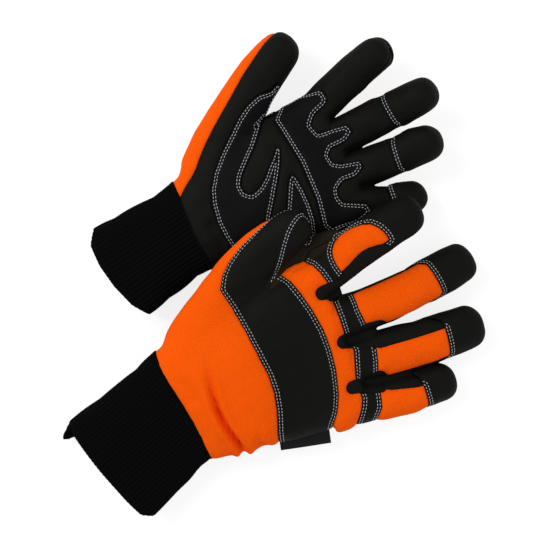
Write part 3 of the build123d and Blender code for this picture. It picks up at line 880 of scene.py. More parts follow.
# The row round the end of the right thumb: where it lies beside its line, and how it shapes the leather
THUMB_ROWS, THUMB_ROW_DEPTH, THUMB_FOLD_HEIGHT = (-1.2, -2.9), 0.3, 0.5
# A distance that stands for a seam that isn't there
NOWHERE = 99.0
SHELL_THICKNESS = 1.1
STITCH_PITCH = 2.5


def kind_of(label):
    first = label.split("_")[0]
    if label in PANEL_FORM:
        return label
    if label.endswith("_patch"):
        return "patch"
    return "finger_back" if first == "back" else first


RIPPLE_WAVES = 7


def ripple(points, size, seed):
    """Smooth noise over points, mostly between -1 and 1."""
    random = np.random.default_rng(seed)
    total = np.zeros(len(points))
    for _ in range(RIPPLE_WAVES):
        direction = unit(random.normal(size=3)) * random.uniform(0.6, 1.6) * 2 * math.pi / size
        total += np.sin(points @ direction + random.uniform(0, 2 * math.pi))
    return total / 4.0


# The lowest that cloth lies over the surface under it, and the height from which it is pressed up
LOWEST, PRESSED_BELOW = 0.25, 3.0


def settled(points):
    """Points pressed flat where they would sink into the surface under the gloves."""
    points = points.copy()
    z = points[:, 2]
    room = PRESSED_BELOW - LOWEST
    points[:, 2] = np.where(z > PRESSED_BELOW, z, LOWEST + room * np.exp((z - PRESSED_BELOW) / room))
    return points


# Folds of the cloth: the line of each, its depth and width, and the side it is on: 1 back, -1 palm
CREASES = {
    "right": (
        (((29, 24), (25.5, 12), (22.3, 0), (20.5, -12.5), (21.3, -25), (25, -44)), 6.5, 2.1, 1),
        (((12, 30), (9, 18), (10, 2)), 1.2, 3.5, 1),
        (((40, -34), (38, -44), (42, -52)), 2.0, 2.5, 1),
    ),
    "left": (
        (((12, -34), (16, -22), (14, -8)), 1.2, 3.5, -1),
        (((10, 36), (20, 30), (30, 18)), 1.2, 4.0, -1),
        (((33.1, 34), (27.6, 18), (23.3, 3), (20.5, -12.5), (23, -34)), 2.4, 3.2, 1),
    ),
}


# Soft unevenness of the padding: how deep, how large and the seed of its noise
UNEVEN = ((0.55, 46.0, 3), (0.22, 17.0, 5))


def worn(hand, points, normals):
    """How far wear and handling push each point out, in millimetres."""
    offset = sum(depth * ripple(points, size, seed) for depth, size, seed in UNEVEN)
    for line, depth, width, face in CREASES[hand.side]:
        gap = np.abs(inside_outline(points[:, 0], points[:, 1], line, closed=False))
        facing = smoothstep(0.0, 0.4, face * hand.sign * normals[:, 2])
        valley = np.exp(-((gap / width) ** 2))
        hill = np.exp(-(((gap - 2.4 * width) / (1.4 * width)) ** 2))
        start, end = np.array(line[0]), np.array(line[-1])
        share = ((points[:, :2] - start) @ (end - start)) / ((end - start) @ (end - start))
        deepening = smoothstep(-0.1, 0.65, share)
        offset += facing * depth * deepening * (0.4 * hill - valley)
    return offset


class Panel:
    """One panel of a hand: its part of the surface, and how far each point is from its edge."""

    def __init__(self, label, points, normals, triangles, vertex_labels):
        self.label, self.kind = label, kind_of(label)
        used, local = np.unique(triangles, return_inverse=True)
        self.triangles = local.reshape(-1, 3)
        self.base, self.normals = points[used], normals[used]
        self.neighbours = [vertex_labels[k] for k in used.tolist()]
        self.distance = self.from_border(lambda others: len(others) > 1)

    def from_border(self, chosen):
        """Distance from the border points whose panels pass the test."""
        border = [k for k, others in enumerate(self.neighbours) if chosen(others)]
        if not border:
            return np.full(len(self.base), NOWHERE)
        tree = tree_of(self.base, border)
        return np.array([tree.find(point)[2] for point in self.base])

    def shape(self, hand):
        """Puffs the panel up, sinks its seams and rows of stitches, and remembers the rows."""
        puff, reach, raised = PANEL_FORM[self.kind]
        self.offset = puff * (1 - np.exp(-self.distance / reach))
        if raised > 0:
            self.offset += raised * (0.45 + 0.55 * smoothstep(0.0, SEAM_WIDTH, self.distance))
        else:
            self.offset += raised - SEAM_DEPTH * np.exp(-self.distance / SEAM_WIDTH)
        self.rows = []
        facing = hand.sign * self.normals[:, 2]
        for sewn, others, places in STITCH_ROWS:
            if sewn in (self.kind, self.label):
                near = self.from_border(lambda found: any(x in others or kind_of(x) in others for x in found))
                if others == ("back_gauntlet",):
                    near = np.where((facing > -0.1) & (self.base[:, 1] > 30), near, NOWHERE)
                if others == ("palm_panel",):
                    near = np.where(facing < -0.05, near, NOWHERE)
                self.sew(near, places, ROW_DEPTH)
        if self.kind == "palm_panel" and hand.sizes.back_up:
            line = inside_outline(self.base[:, 0], self.base[:, 1], THUMB_LINE, closed=False)
            on_thumb = hand.thumb.reach(self.base) < 1.2
            line = np.where((facing > 0.15) & (self.base[:, 1] > 55) & on_thumb, line, NOWHERE)
            self.offset += THUMB_FOLD_HEIGHT * smoothstep(-0.8, 0.3, -line) * smoothstep(14, 6, -line)
            self.sew(line, THUMB_ROWS, THUMB_ROW_DEPTH)
        self.points = settled(self.base + self.normals * self.offset[:, None])
        self.shown_normals = normals_of(self.points, self.triangles)

    def sew(self, near, places, depth):
        """Sinks a row of stitches at each place of a field."""
        for place in places:
            self.offset -= depth * np.exp(-(((near - place) / ROW_WIDTH) ** 2))
            self.rows.append((near, place))


# Where the surface is smoothed to grow together: the root of the thumb, as a place along the hand and a share
# of its half width, and the fold beside it, as a place along a line. Each is an ellipse with two half sizes.
THUMB_ROOT, THUMB_ROOT_SIZES = (34.0, 0.8), (34.0, 26.0)
FOLD_LINE, FOLD_PLACE, FOLD_SIZES = ((40, 40), (88, 57)), 62.0, (34.0, 15.0)
ROOT_WEIGHT, ROOT_ROUNDS = 0.9, 90
FORM_SMOOTHING = 10
# Where the panels start beyond the wrist seam
SHELL_START = 0.5


def near_thumb_root(hand, points):
    """How far each point is from the middle of the thumb's root or of the fold, where 1 is its edge."""
    x, y = points[:, 0], points[:, 1]
    along = (x - THUMB_ROOT[0]) / THUMB_ROOT_SIZES[0]
    across = (y - THUMB_ROOT[1] * hand.sizes.wrist_half_width) / THUMB_ROOT_SIZES[1]
    root = np.hypot(along, across)
    if hand.web:
        across = (y - table(FOLD_LINE, x)) / FOLD_SIZES[1]
        root = np.minimum(root, np.hypot((x - FOLD_PLACE) / FOLD_SIZES[0], across))
    return root


def hand_panels(hand, voxel):
    """Every panel of one hand by name."""
    form = remeshed(hand, voxel, FORM_SMOOTHING)
    points, _, triangles = arrays(form)
    bpy.data.objects.remove(form)
    weight = ROOT_WEIGHT * smoothstep(1.0, 0.5, near_thumb_root(hand, points))
    points = relaxed(points, triangles, weight, ROOT_ROUNDS)
    swell = stuffed(hand, points)[:, None]
    swell = relaxed(swell, triangles, np.full(len(points), SWELL_WEIGHT), SWELL_ROUNDS)
    points = points + normals_of(points, triangles) * swell
    normals = normals_of(points, triangles)
    seams = Seams(hand, points, normals)
    data = np.column_stack([points, normals, points[:, 0] - SHELL_START, *seams.cuts()])
    for field in range(6, data.shape[1]):
        data, triangles = cut_along(data, triangles, field)
    mean = data[triangles].mean(1)
    triangles, mean = triangles[mean[:, 6] > 0], mean[mean[:, 6] > 0]
    middle = Seams(hand, mean[:, :3], unit(mean[:, 3:6]))
    labels = labels_of(mean[:, 6:].T, middle.finger, middle.tongue_of, middle.finger_turn,
                       hand.sizes.back_up)
    for label, carrier in ONE_PIECE.items():
        labels[labels == label] = carrier
    found = {}
    for label in np.unique(labels).tolist():
        for k in np.unique(triangles[labels == label]).tolist():
            found.setdefault(k, []).append(label)
    vertex_labels = [found.get(k, []) for k in range(len(data))]
    for k in np.flatnonzero(np.abs(data[:, 6]) < 1e-6).tolist():
        vertex_labels[k] = vertex_labels[k] + ["wrist"]
    normals = unit(data[:, 3:6])
    plain = (hand.sign * normals[:, 2] > 0.2) & (data[:, 1] > 20) & hand.sizes.back_up
    for k in np.flatnonzero(plain).tolist():
        if set(vertex_labels[k]) == {"knuckle_band", "palm_panel"}:
            vertex_labels[k] = ["knuckle_band"]
    points = data[:, :3] + normals * worn(hand, data[:, :3], normals)[:, None]
    panels = {}
    for label in np.unique(labels).tolist():
        panel = Panel(label, points, normals, triangles[labels == label], vertex_labels)
        panel.shape(hand)
        panels[label] = panel
    return panels


# How far the wrist seam of each glove is drawn back at the thumb's side
WRIST_SLANT = {"right": 8.0, "left": 0.0}


def slanted(hand, points):
    """Points near the wrist, drawn back towards the thumb's side."""
    points = points.copy()
    x, y = points[:, 0], points[:, 1]
    near = smoothstep(45.0, 3.0, np.abs(x))
    points[:, 0] = x - WRIST_SLANT[hand.side] * near * smoothstep(-15.0, 45.0, y)
    return points


def put(hand, piece, slot_name, material, *nodes):
    """Takes a piece from its hand's frame to the row's, ties it to its body and hides the nodes that it
    stands for.
    """
    mesh = piece.data
    points = np.empty(len(mesh.vertices) * 3)
    mesh.vertices.foreach_get("co", points)
    points = points.reshape(-1, 3)
    cloth = mesh.attributes.new("cloth", "FLOAT_VECTOR", "POINT")
    cloth.data.foreach_set("vector", points.ravel())
    mesh.vertices.foreach_set("co", hand.to_row(slanted(hand, points)).ravel())
    mesh.materials.append(material)
    mesh.update()
    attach(piece, BODIES[hand.side])
    if nodes:
        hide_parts(*nodes)
    return piece


def trace(points, normals, triangles, value, level):
    """The lines along which a field has a level, each as points and normals."""
    shifted = value - level
    corner = shifted[triangles]
    crossing = triangles[(corner.min(1) < 0) & (corner.max(1) >= 0) & (corner.max(1) < NOWHERE / 2)]
    linked, place = {}, {}
    for corners in crossing.tolist():
        ends = []
        for p, q in ((corners[0], corners[1]), (corners[1], corners[2]), (corners[2], corners[0])):
            a, b = shifted[p], shifted[q]
            if (a < 0) != (b < 0):
                key = (min(p, q), max(p, q))
                if key not in place:
                    share = a / (a - b)
                    place[key] = np.concatenate([
                        points[p] + (points[q] - points[p]) * share,
                        normals[p] + (normals[q] - normals[p]) * share,
                    ])
                ends.append(key)
        if len(ends) == 2:
            linked.setdefault(ends[0], []).append(ends[1])
            linked.setdefault(ends[1], []).append(ends[0])
    seen, lines = set(), []
    starts = [key for key, others in linked.items() if len(others) == 1] + list(linked)
    for start in starts:
        if start in seen:
            continue
        line, key = [], start
        while key is not None:
            seen.add(key)
            line.append(place[key])
            key = next((other for other in linked[key] if other not in seen), None)
        if len(line) > 3:
            lines.append(np.array(line))
    return lines


def stitches_on(line, pitch):
    """Middles, directions and normals of evenly spaced stitches along a traced line."""
    places = line[:, :3].copy()
    for _ in range(3):
        places[1:-1] = (places[:-2] + 2 * places[1:-1] + places[2:]) / 4
    steps = np.linalg.norm(np.diff(places, axis=0), axis=1)
    along = np.concatenate([[0.0], np.cumsum(steps)])
    if along[-1] < 2 * pitch:
        return None
    at = np.arange(pitch / 2, along[-1], pitch)

    def on(x):
        return rows(*[np.interp(x, along, places[:, k]) for k in range(3)])

    normal = rows(*[np.interp(at, along, line[:, 3 + k]) for k in range(3)])
    return on(at), unit(on(at + 0.5) - on(at - 0.5)), unit(normal)


# A stitch's sections along it, from -0.5 to 0.5, each with its share of the thread's thickness
STITCH_SECTIONS = ((-0.5, 0.25), (-0.36, 0.85), (0.0, 1.0), (0.36, 0.85), (0.5, 0.25))
STITCH_SIDES = 6


def stitch_mesh(found, length, radius):
    """All the stitches as short round-ended threads, each sunk a little into the fabric."""
    middles, along, normal = (np.concatenate(part) for part in zip(*found))
    across = unit(np.cross(normal, along))
    normal = np.cross(along, across)
    around = STITCH_SIDES
    shape, faces = [], []
    for place, size in STITCH_SECTIONS:
        for k in range(around):
            turn = 2 * math.pi * k / around
            sink = -0.9 * radius * (2 * place) ** 2
            shape.append((place * length, size * radius * math.cos(turn),
                          size * radius * math.sin(turn) + sink + 0.35 * radius))
    for ring in range(len(STITCH_SECTIONS) - 1):
        for k in range(around):
            a, b = ring * around + k, ring * around + (k + 1) % around
            faces += [(a, a + around, b), (b, a + around, b + around)]
    last = (len(STITCH_SECTIONS) - 1) * around
    for k in range(1, around - 1):
        faces += [(0, k, k + 1), (last, last + k + 1, last + k)]
    shape, faces = np.array(shape), np.array(faces)
    points = (
        middles[:, None]
        + along[:, None] * shape[None, :, 0:1]
        + across[:, None] * shape[None, :, 1:2]
        + normal[:, None] * shape[None, :, 2:3]
    ).reshape(-1, 3)
    shift = (np.arange(len(middles)) * len(shape))[:, None, None]
    return points, (faces[None] + shift).reshape(-1, 3)


# --- Cuffs, bindings, label and lining ---------------------------------------------------------------


def ring_points(half_width, half_height, squareness, count):
    """Points evenly spaced round a section, with their outward normals in its plane."""
    turn = np.linspace(0, 2 * math.pi, 1441)
    power = 2.0 / squareness
    u = half_width * np.sign(np.cos(turn)) * np.abs(np.cos(turn)) ** power
    v = half_height * np.sign(np.sin(turn)) * np.abs(np.sin(turn)) ** power
    along = np.concatenate([[0.0], np.cumsum(np.hypot(np.diff(u), np.diff(v)))])
    at = np.linspace(0, along[-1], count, endpoint=False)
    u, v = np.interp(at, along, u), np.interp(at, along, v)
    du, dv = np.roll(u, -1) - np.roll(u, 1), np.roll(v, -1) - np.roll(v, 1)
    size = np.hypot(du, dv)
    return u, v, dv / size, -du / size


def grid_faces(rings, around):
    """Faces between closed rings of points, the last ring joined back to the first."""
    ring, step = np.meshgrid(np.arange(rings), np.arange(around), indexing="ij")
    after, following = (ring + 1) % rings, (step + 1) % around
    quads = np.stack([ring * around + step, ring * around + following,
                      after * around + following, after * around + step], -1)
    return quads.reshape(-1, 4)


# How long each cuff is across its width, as shares of its length
CUFF_ENDS = {
    "right": ((-1, 0.97), (-0.85, 1.03), (-0.5, 1.04), (0.0, 1.04), (0.5, 1.03), (0.8, 1.02), (1, 0.98)),
    "left": ((-1, 0.92), (-0.7, 1.0), (-0.2, 1.05), (0.3, 1.06), (0.75, 1.03), (1, 0.93)),
}


# How far the corner of the right cuff is drawn out on the side it lies on, and where across the cuff
CUFF_TAIL = {"right": 0.17, "left": 0.0}
CUFF_TAIL_PLACE, CUFF_TAIL_WIDTH = 0.88, 0.1
# The cuff's girth as a share of that of a circle through its edges, and the points round each rib
CUFF_GIRTH, POINTS_PER_RIB = 0.72, 8


def cuff_mesh(hand, rib_pitch, rib_depth, wall):
    """A ribbed knit tube with a rolled lip, from inside the binding back to its open end."""
    sizes = hand.sizes
    width, height, middle, lean = hand.palm_section(0.0)
    ribs = int(round(2 * math.pi * CUFF_GIRTH * width / rib_pitch))
    around = ribs * POINTS_PER_RIB
    phase = np.arange(around) / POINTS_PER_RIB * 2 * math.pi
    rib = np.abs(np.cos(phase / 2)) ** 0.7 - 0.6
    back = np.array([math.cos(math.radians(sizes.cuff_turn)), math.sin(math.radians(sizes.cuff_turn)), 0])

    def ring(share, inward, rib_scale, lip=0.0):
        flare = np.interp(share, (0, 0.2, 0.6, 1.0), (0.2, -1.5, 0.5, 2.5))
        roll = math.radians(lean * (1 - share))
        rise = sizes.lift + CUFF_HALF_HEIGHT
        rise = rise + (width + flare - CUFF_HALF_HEIGHT) * math.sin(roll)
        rise = middle + (rise - middle) * smoothstep(0, 0.2, share)
        heading = math.radians(sizes.cuff_turn * min(1.0, 2 * share))
        side = np.array([-math.sin(heading), math.cos(heading), 0.0])
        up = np.array([0.0, 0.0, 1.0])
        side, up = side * math.cos(roll) + up * math.sin(roll), up * math.cos(roll) - side * math.sin(roll)
        tall = height + (CUFF_HALF_HEIGHT - height) * smoothstep(0, 0.2, share)
        u, v, nu, nv = ring_points(width + flare, tall, PALM_SQUARENESS, around)
        ends = table(CUFF_ENDS[sizes.side], u / (width + flare))
        from_tail = (u / (width + flare) - CUFF_TAIL_PLACE) / CUFF_TAIL_WIDTH
        ends = ends + CUFF_TAIL[sizes.side] * np.exp(-(from_tail ** 2)) * smoothstep(0.3, -0.5, v / tall)
        reach = share * (1 + (ends - 1) * smoothstep(0.35, 1.0, share)) * sizes.cuff_length + lip
        wave = np.sin(u / 11.0 + 1.3) * np.sin(share * 7.0 + u / 23.0)
        waist = 0.9 * wave * np.sign(v) * smoothstep(0, 0.3, share)
        out = rib_depth * rib * rib_scale - inward + waist
        points = np.array([0.0, 0.0, rise]) - back * reach[:, None]
        return points + side * (u + nu * out)[:, None] + up * (v + nv * out)[:, None]

    rings = [ring(share, 0.0, 1.0) for share in np.linspace(0.0, 1.0, 44)]
    for turn in np.linspace(0, math.pi, 7)[1:-1]:
        rings.append(ring(1.0, wall / 2 * (1 - math.cos(turn)), 1.0, wall / 2 * math.sin(turn)))
    rings += [ring(share, wall, -1.0) for share in np.linspace(1.0, 0.0, 30)]
    points = settled(np.concatenate(rings))
    return points, grid_faces(len(rings), around)[:, ::-1]


# Where the roll's middle is along the hand, how far it reaches to either side and how deep inwards
ROLL_MIDDLE, ROLL_REACH, ROLL_SUNK = 1.0, 1.7, 0.8


def binding_mesh(hand, stand):
    """A soft roll round the wrist seam."""
    around, rings = 300, []
    for turn in np.linspace(0, 2 * math.pi, 17)[:-1]:
        x = ROLL_MIDDLE - ROLL_REACH * math.cos(turn)
        out = stand * math.sin(turn) if turn < math.pi else ROLL_SUNK * math.sin(turn)
        width, height, middle, roll = hand.palm_section(max(x, 0.0) / PALM_LENGTH)
        u, v, nu, nv = ring_points(width, height, PALM_SQUARENESS, around)
        c, s = math.cos(math.radians(roll)), math.sin(math.radians(roll))
        a, b = u + nu * out, v + nv * out
        rings.append(rows(np.full(around, x), a * c - b * s, middle + a * s + b * c))
    return settled(np.concatenate(rings)), grid_faces(len(rings), around)[:, ::-1]


# Where the label's middle is along the hand, and how it is turned
LABEL_PLACE, LABEL_TURN = 69.0, -14.5


def label_mesh(hand, length, width, thickness):
    """A folded tag whose far edge droops, sewn into the seam on the little finger's side."""
    half_width = hand.palm_section(LABEL_PLACE / PALM_LENGTH)[0]
    seat = hand.on_middle(LABEL_PLACE, -(half_width + 0.3))
    slant = math.radians(LABEL_TURN)
    xs, ys = np.linspace(-0.5, 0.5, 25), np.linspace(-0.5, 0.5, 11)
    points, faces = [], []
    for y in ys:
        for x in xs:
            along, across = x * length, y * width
            droop = 1.2 * (0.5 - y) ** 2 * 4 * 0.4 + 0.35 * math.sin(x * 5 + y * 2)
            points.append((
                seat[0] + along * math.cos(slant) - across * math.sin(slant),
                seat[1] + along * math.sin(slant) + across * math.cos(slant),
                seat[2] + 0.6 - droop + thickness,
            ))
    for j in range(len(ys) - 1):
        for i in range(len(xs) - 1):
            a = j * len(xs) + i
            faces.append((a, a + 1, a + 1 + len(xs), a + len(xs)))
    return points, faces


# --- Materials ---------------------------------------------------------------------------------------


class Value:
    """A number in a shader, with plain arithmetic."""

    def __init__(self, shader, socket):
        self.shader, self.socket = shader, socket

    def maths(self, operation, *others):
        node = self.shader.node("ShaderNodeMath", {"operation": operation})
        for place, value in enumerate((self, *others)):
            self.shader.feed(node.inputs[place], value)
        return Value(self.shader, node.outputs[0])

    def __add__(self, other):
        return self.maths("ADD", other)

    def __mul__(self, other):
        return self.maths("MULTIPLY", other)

    __radd__ = __add__
    __rmul__ = __mul__

    def sine(self):
        return self.maths("SINE")

    def power(self, exponent):
        return self.maths("POWER", exponent)


class Shader:
    """One material and the nodes that make it."""

    def __init__(self, name):
        self.material = bpy.data.materials.new(name)
        self.material.use_nodes = True
        self.tree = self.material.node_tree
        self.tree.nodes.clear()

    def node(self, kind, settings=None, inputs=None):
        node = self.tree.nodes.new(kind)
        for name, value in (settings or {}).items():
            setattr(node, name, value)
        for name, value in (inputs or {}).items():
            self.feed(node.inputs[name], value)
        return node

    def feed(self, socket, value):
        if isinstance(value, Value):
            self.tree.links.new(value.socket, socket)
        else:
            socket.default_value = value

    def cloth(self):
        """The place on the cloth, in millimetres of the hand frame."""
        return Value(self, self.node("ShaderNodeAttribute", {"attribute_name": "cloth"}).outputs["Vector"])

    def noise(self, vector, scale, detail=3.0):
        inputs = {"Vector": vector, "Scale": scale, "Detail": detail}
        return Value(self, self.node("ShaderNodeTexNoise", None, inputs).outputs["Fac"])

    def cells(self, vector, scale):
        inputs = {"Vector": vector, "Scale": scale}
        return Value(self, self.node("ShaderNodeTexVoronoi", None, inputs).outputs["Distance"])

    def split(self, vector):
        node = self.node("ShaderNodeSeparateXYZ", None, {0: vector})
        return [Value(self, output) for output in node.outputs]

    def mixed(self, factor, first, second):
        node = self.node("ShaderNodeMix", {"data_type": "RGBA"})
        self.feed(node.inputs[0], factor)
        self.feed(node.inputs[6], first)
        self.feed(node.inputs[7], second)
        return Value(self, node.outputs[2])

    def surface(self, colour, roughness, height=None, depth=0.0002, **constants):
        shader = self.node("ShaderNodeBsdfPrincipled", None, {"Base Color": colour, "Roughness": roughness})
        for name, value in constants.items():
            shader.inputs[name.replace("_", " ")].default_value = value
        if height is not None:
            bump = self.node("ShaderNodeBump", None, {"Height": height, "Distance": depth, "Strength": 1.0})
            self.tree.links.new(bump.outputs[0], shader.inputs["Normal"])
        output = self.node("ShaderNodeOutputMaterial")
        self.tree.links.new(shader.outputs[0], output.inputs[0])
        return self.material


def faded(colour, share):
    return (*[c * share for c in colour[:3]], 1.0)


def knit_material(name, colour, wale):
    shader = Shader(name)
    cloth = shader.cloth()
    x, y, _ = shader.split(cloth)
    turn = 2 * math.pi / wale
    wave = (x * turn + (y * (turn * 0.9)).sine() * 0.5).sine() * 0.5 + 0.5
    loops = (y * (turn * 0.9)).sine() * 0.5 + 0.5
    height = wave.power(0.7) * 0.8 + loops * 0.25 + shader.noise(cloth, 2.4) * 0.5
    blotch = shader.noise(cloth, 0.05) * 0.5 + shader.noise(cloth, 1.6) * 0.35 + wave * 0.25
    tint = shader.mixed(blotch, faded(colour, 0.80), faded(colour, 1.06))
    return shader.surface(tint, 0.85, height, 0.0003, Specular_IOR_Level=0.04)


# Painted sheen: a lighter, browner colour that stands in for the light on the fold of leather beside the
# thumb
WEB_SHEEN_COLOUR = (0.0125, 0.0095, 0.0045, 1.0)


def leather_material(name, colour, roughness, grain):
    shader = Shader(name)
    cloth = shader.cloth()
    pores = shader.cells(cloth, grain)
    fuzz = shader.noise(cloth, 1.9, 5.0)
    height = pores * 0.6 + fuzz * 0.8
    tint = shader.mixed(shader.noise(cloth, 0.09) * 0.7 + fuzz * 0.4, faded(colour, 0.72), faded(colour, 1.3))
    # Painted sheen: where the web attribute is set, the fold beside the thumb is coloured lighter and browner
    web = Value(shader, shader.node("ShaderNodeAttribute", {"attribute_name": "web"}).outputs["Fac"])
    tint = shader.mixed(web, tint, WEB_SHEEN_COLOUR)
    return shader.surface(tint, roughness, height, 0.00022, Specular_IOR_Level=0.07)


def rib_material(name, colour):
    shader = Shader(name)
    cloth = shader.cloth()
    fuzz = shader.noise(cloth, 2.2, 4.0)
    tint = shader.mixed(fuzz, faded(colour, 0.6), faded(colour, 1.5))
    return shader.surface(tint, 0.95, fuzz + shader.cells(cloth, 0.9) * 0.5, 0.0003, Specular_IOR_Level=0.03)


def plain_material(name, colour, roughness):
    shader = Shader(name)
    fuzz = shader.noise(shader.cloth(), 3.0, 2.0)
    tint = shader.mixed(fuzz, faded(colour, 0.85), faded(colour, 1.1))
    return shader.surface(tint, roughness, fuzz, 0.0001, Specular_IOR_Level=0.15)


# --- Settings ----------------------------------------------------------------------------------------


def length_property(name, description, default):
    return FloatProperty(name=name, description=description, default=default, min=0.0, unit="LENGTH")


def colour_property(name, description, default):
    return FloatVectorProperty(name=name, description=description, default=default, size=3, min=0.0,
                               max=1.0, subtype="COLOR")


class GloveSizes(bpy.types.PropertyGroup):
    """Sizes of what is sewn, in metres."""

    voxel: length_property("Surface step", "Edge length of the hands' surface mesh", 0.00125)
    stitch_length: length_property("Stitch length", "Length of one stitch", 0.0017)
    stitch_thickness: length_property("Thread", "Thickness of the topstitching thread", 0.0005)
    rib_pitch: length_property("Rib pitch", "Distance between ribs of the cuff", 0.0030)
    rib_depth: length_property("Rib depth", "Depth of the cuff's ribs", 0.0009)
    cuff_wall: length_property("Cuff wall", "Thickness of the knitted cuff", 0.0034)
    binding: length_property("Binding", "How far the wrist binding stands proud", 0.0008)
    label_length: length_property("Label length", "Length of the side label", 0.037)
    label_width: length_property("Label width", "Width of the side label", 0.017)
    label_thickness: length_property("Label thickness", "Thickness of the side label", 0.0012)


class GloveColours(bpy.types.PropertyGroup):
    """Colours of the cloths and the thread."""

    orange: colour_property("Knit back", "Colour of the knit backs", (0.92, 0.099, 0.0012))
    leather: colour_property("Leather", "Colour of the synthetic leather", (0.0036, 0.0038, 0.0028))
    patch: colour_property("Patch", "Colour of the palm patches", (0.0029, 0.0030, 0.0030))
    rib: colour_property("Rib knit", "Colour of the cuffs", (0.0022, 0.0022, 0.0023))
    thread: colour_property("Thread", "Colour of the topstitching", (0.48, 0.5, 0.54))
    label: colour_property("Label", "Colour of the side label", (0.004, 0.004, 0.006))
    fleece: colour_property("Fleece", "Colour of the lining", (0.09, 0.09, 0.095))


# What one operator makes and a later one needs
MADE = {"panels": {}, "materials": {}}


def material(name):
    """The material of that name, made when first asked for."""
    if name in MADE["materials"]:
        return MADE["materials"][name]
    colours = bpy.context.scene.glove_colours
    makers = {
        "orange_knit": lambda: knit_material("orange_knit", colours.orange, 1.25),
        "black_leather": lambda: leather_material("black_leather", colours.leather, 0.62, 1.4),
        "patch_leather": lambda: leather_material("patch_leather", colours.patch, 0.7, 1.7),
        "rib_knit": lambda: rib_material("rib_knit", colours.rib),
        "thread": lambda: plain_material("thread", colours.thread, 0.6),
        "label": lambda: plain_material("label", colours.label, 0.45),
        "fleece": lambda: plain_material("fleece", colours.fleece, 0.95),
    }
    MADE["materials"][name] = makers[name]()
    return MADE["materials"][name]


HANDS = {"right": Hand(RIGHT), "left": Hand(LEFT)}
ORANGE_KINDS = ("back_gauntlet", "knuckle_panel", "finger_back")
PADDED_FILL = {"back_gauntlet": 0.55, "knuckle_band": 0.5, "knuckle_panel": 0.55, "palm_panel": 0.5,
               "finger_back": 0.5}


class GLOVES_OT_panels(bpy.types.Operator):
    """Makes every sewn panel of both hands."""

    bl_idname = "gloves.panels"
    bl_label = "Hand panels"

    def execute(self, context):
        voxel = context.scene.glove_sizes.voxel / MM
        for side, hand in HANDS.items():
            MADE["panels"][side] = hand_panels(hand, voxel)
            for label, panel in MADE["panels"][side].items():
                piece = new_object(f"{side}_{label}_cloth", panel.points, panel.triangles)
                piece.data.shade_smooth()
                if hand.web:
                    # Painted sheen: a mask over the fold beside the thumb, where the leather is coloured
                    # lighter and browner
                    web = piece.data.attributes.new("web", "FLOAT", "POINT")
                    painted_sheen = smoothstep(1.5, 1.15, hand.web.reach(panel.base))
                    web.data.foreach_set("value", painted_sheen * smoothstep(85, 93, panel.base[:, 0]))
                finish_modifier(piece, "SOLIDIFY", thickness=SHELL_THICKNESS, offset=-1.0)
                only(piece)
                bpy.ops.object.shade_smooth_by_angle(angle=math.radians(50))
                if panel.kind in ORANGE_KINDS:
                    cloth = "orange_knit"
                else:
                    cloth = "patch_leather" if panel.kind == "patch" else "black_leather"
                nodes = [label, *[other for other, carrier in ONE_PIECE.items() if carrier == label]]
                put(hand, piece, cloth, material(cloth), *[f"{side}_{node}" for node in nodes])
                panel.kind in PADDED_FILL
        return {"FINISHED"}


class GLOVES_OT_stitching(bpy.types.Operator):
    """Sews the rows of topstitching onto the panels."""

    bl_idname = "gloves.stitching"
    bl_label = "Topstitching"

    def execute(self, context):
        sizes = context.scene.glove_sizes
        for side, hand in HANDS.items():
            found = []
            for panel in MADE["panels"][side].values():
                for near, place in panel.rows:
                    for line in trace(panel.points, panel.shown_normals, panel.triangles, near, place):
                        sewn = stitches_on(line, STITCH_PITCH)
                        if sewn:
                            found.append(sewn)
            points, faces = stitch_mesh(found, sizes.stitch_length / MM, sizes.stitch_thickness / 2 / MM)
            piece = new_object(f"{side}_thread", points, faces)
            piece.data.shade_smooth()
            put(hand, piece, None, material("thread"))
        return {"FINISHED"}


class GLOVES_OT_cuffs(bpy.types.Operator):
    """Knits the two ribbed cuffs."""

    bl_idname = "gloves.cuffs"
    bl_label = "Cuffs"

    def execute(self, context):
        sizes = context.scene.glove_sizes
        for side, hand in HANDS.items():
            points, faces = cuff_mesh(hand, sizes.rib_pitch / MM, sizes.rib_depth / MM, sizes.cuff_wall / MM)
            piece = new_object(f"{side}_cuff_knit", points, faces)
            piece.data.shade_smooth()
            put(hand, piece, "rib_knit", material("rib_knit"), f"{side}_cuff")
        return {"FINISHED"}


class GLOVES_OT_bindings(bpy.types.Operator):
    """Makes the rolls that bind the cuffs to the hands."""

    bl_idname = "gloves.bindings"
    bl_label = "Bindings"

    def execute(self, context):
        for side, hand in HANDS.items():
            points, faces = binding_mesh(hand, context.scene.glove_sizes.binding / MM)
            piece = new_object(f"{side}_binding_roll", points, faces)
            piece.data.shade_smooth()
            put(hand, piece, "binding", material("rib_knit"), f"{side}_cuff_binding")
        return {"FINISHED"}


class GLOVES_OT_label(bpy.types.Operator):
    """Makes the bare tag on the right glove's side."""

    bl_idname = "gloves.label"
    bl_label = "Side label"

    def execute(self, context):
        sizes = context.scene.glove_sizes
        thickness = sizes.label_thickness / MM
        points, faces = label_mesh(HANDS["right"], sizes.label_length / MM, sizes.label_width / MM, thickness)
        piece = new_object("right_label_cloth", points, faces)
        finish_modifier(piece, "SOLIDIFY", thickness=thickness, offset=-1.0)
        finish_modifier(piece, "BEVEL", width=0.3, segments=2, limit_method="ANGLE")
        piece.data.shade_smooth()
        put(HANDS["right"], piece, "label", material("label"), "right_label_tag")
        return {"FINISHED"}


FLEECE_VOXEL, FLEECE_SMOOTHING = 2.5, 4
# How far inside the hand's surface the fleece lies, and how far it flares towards the cuff's wall
FLEECE_DEPTH, FLEECE_FLARE = 6.5, 3.6
FLEECE_START, FLEECE_THICKNESS = -4.0, 1.2


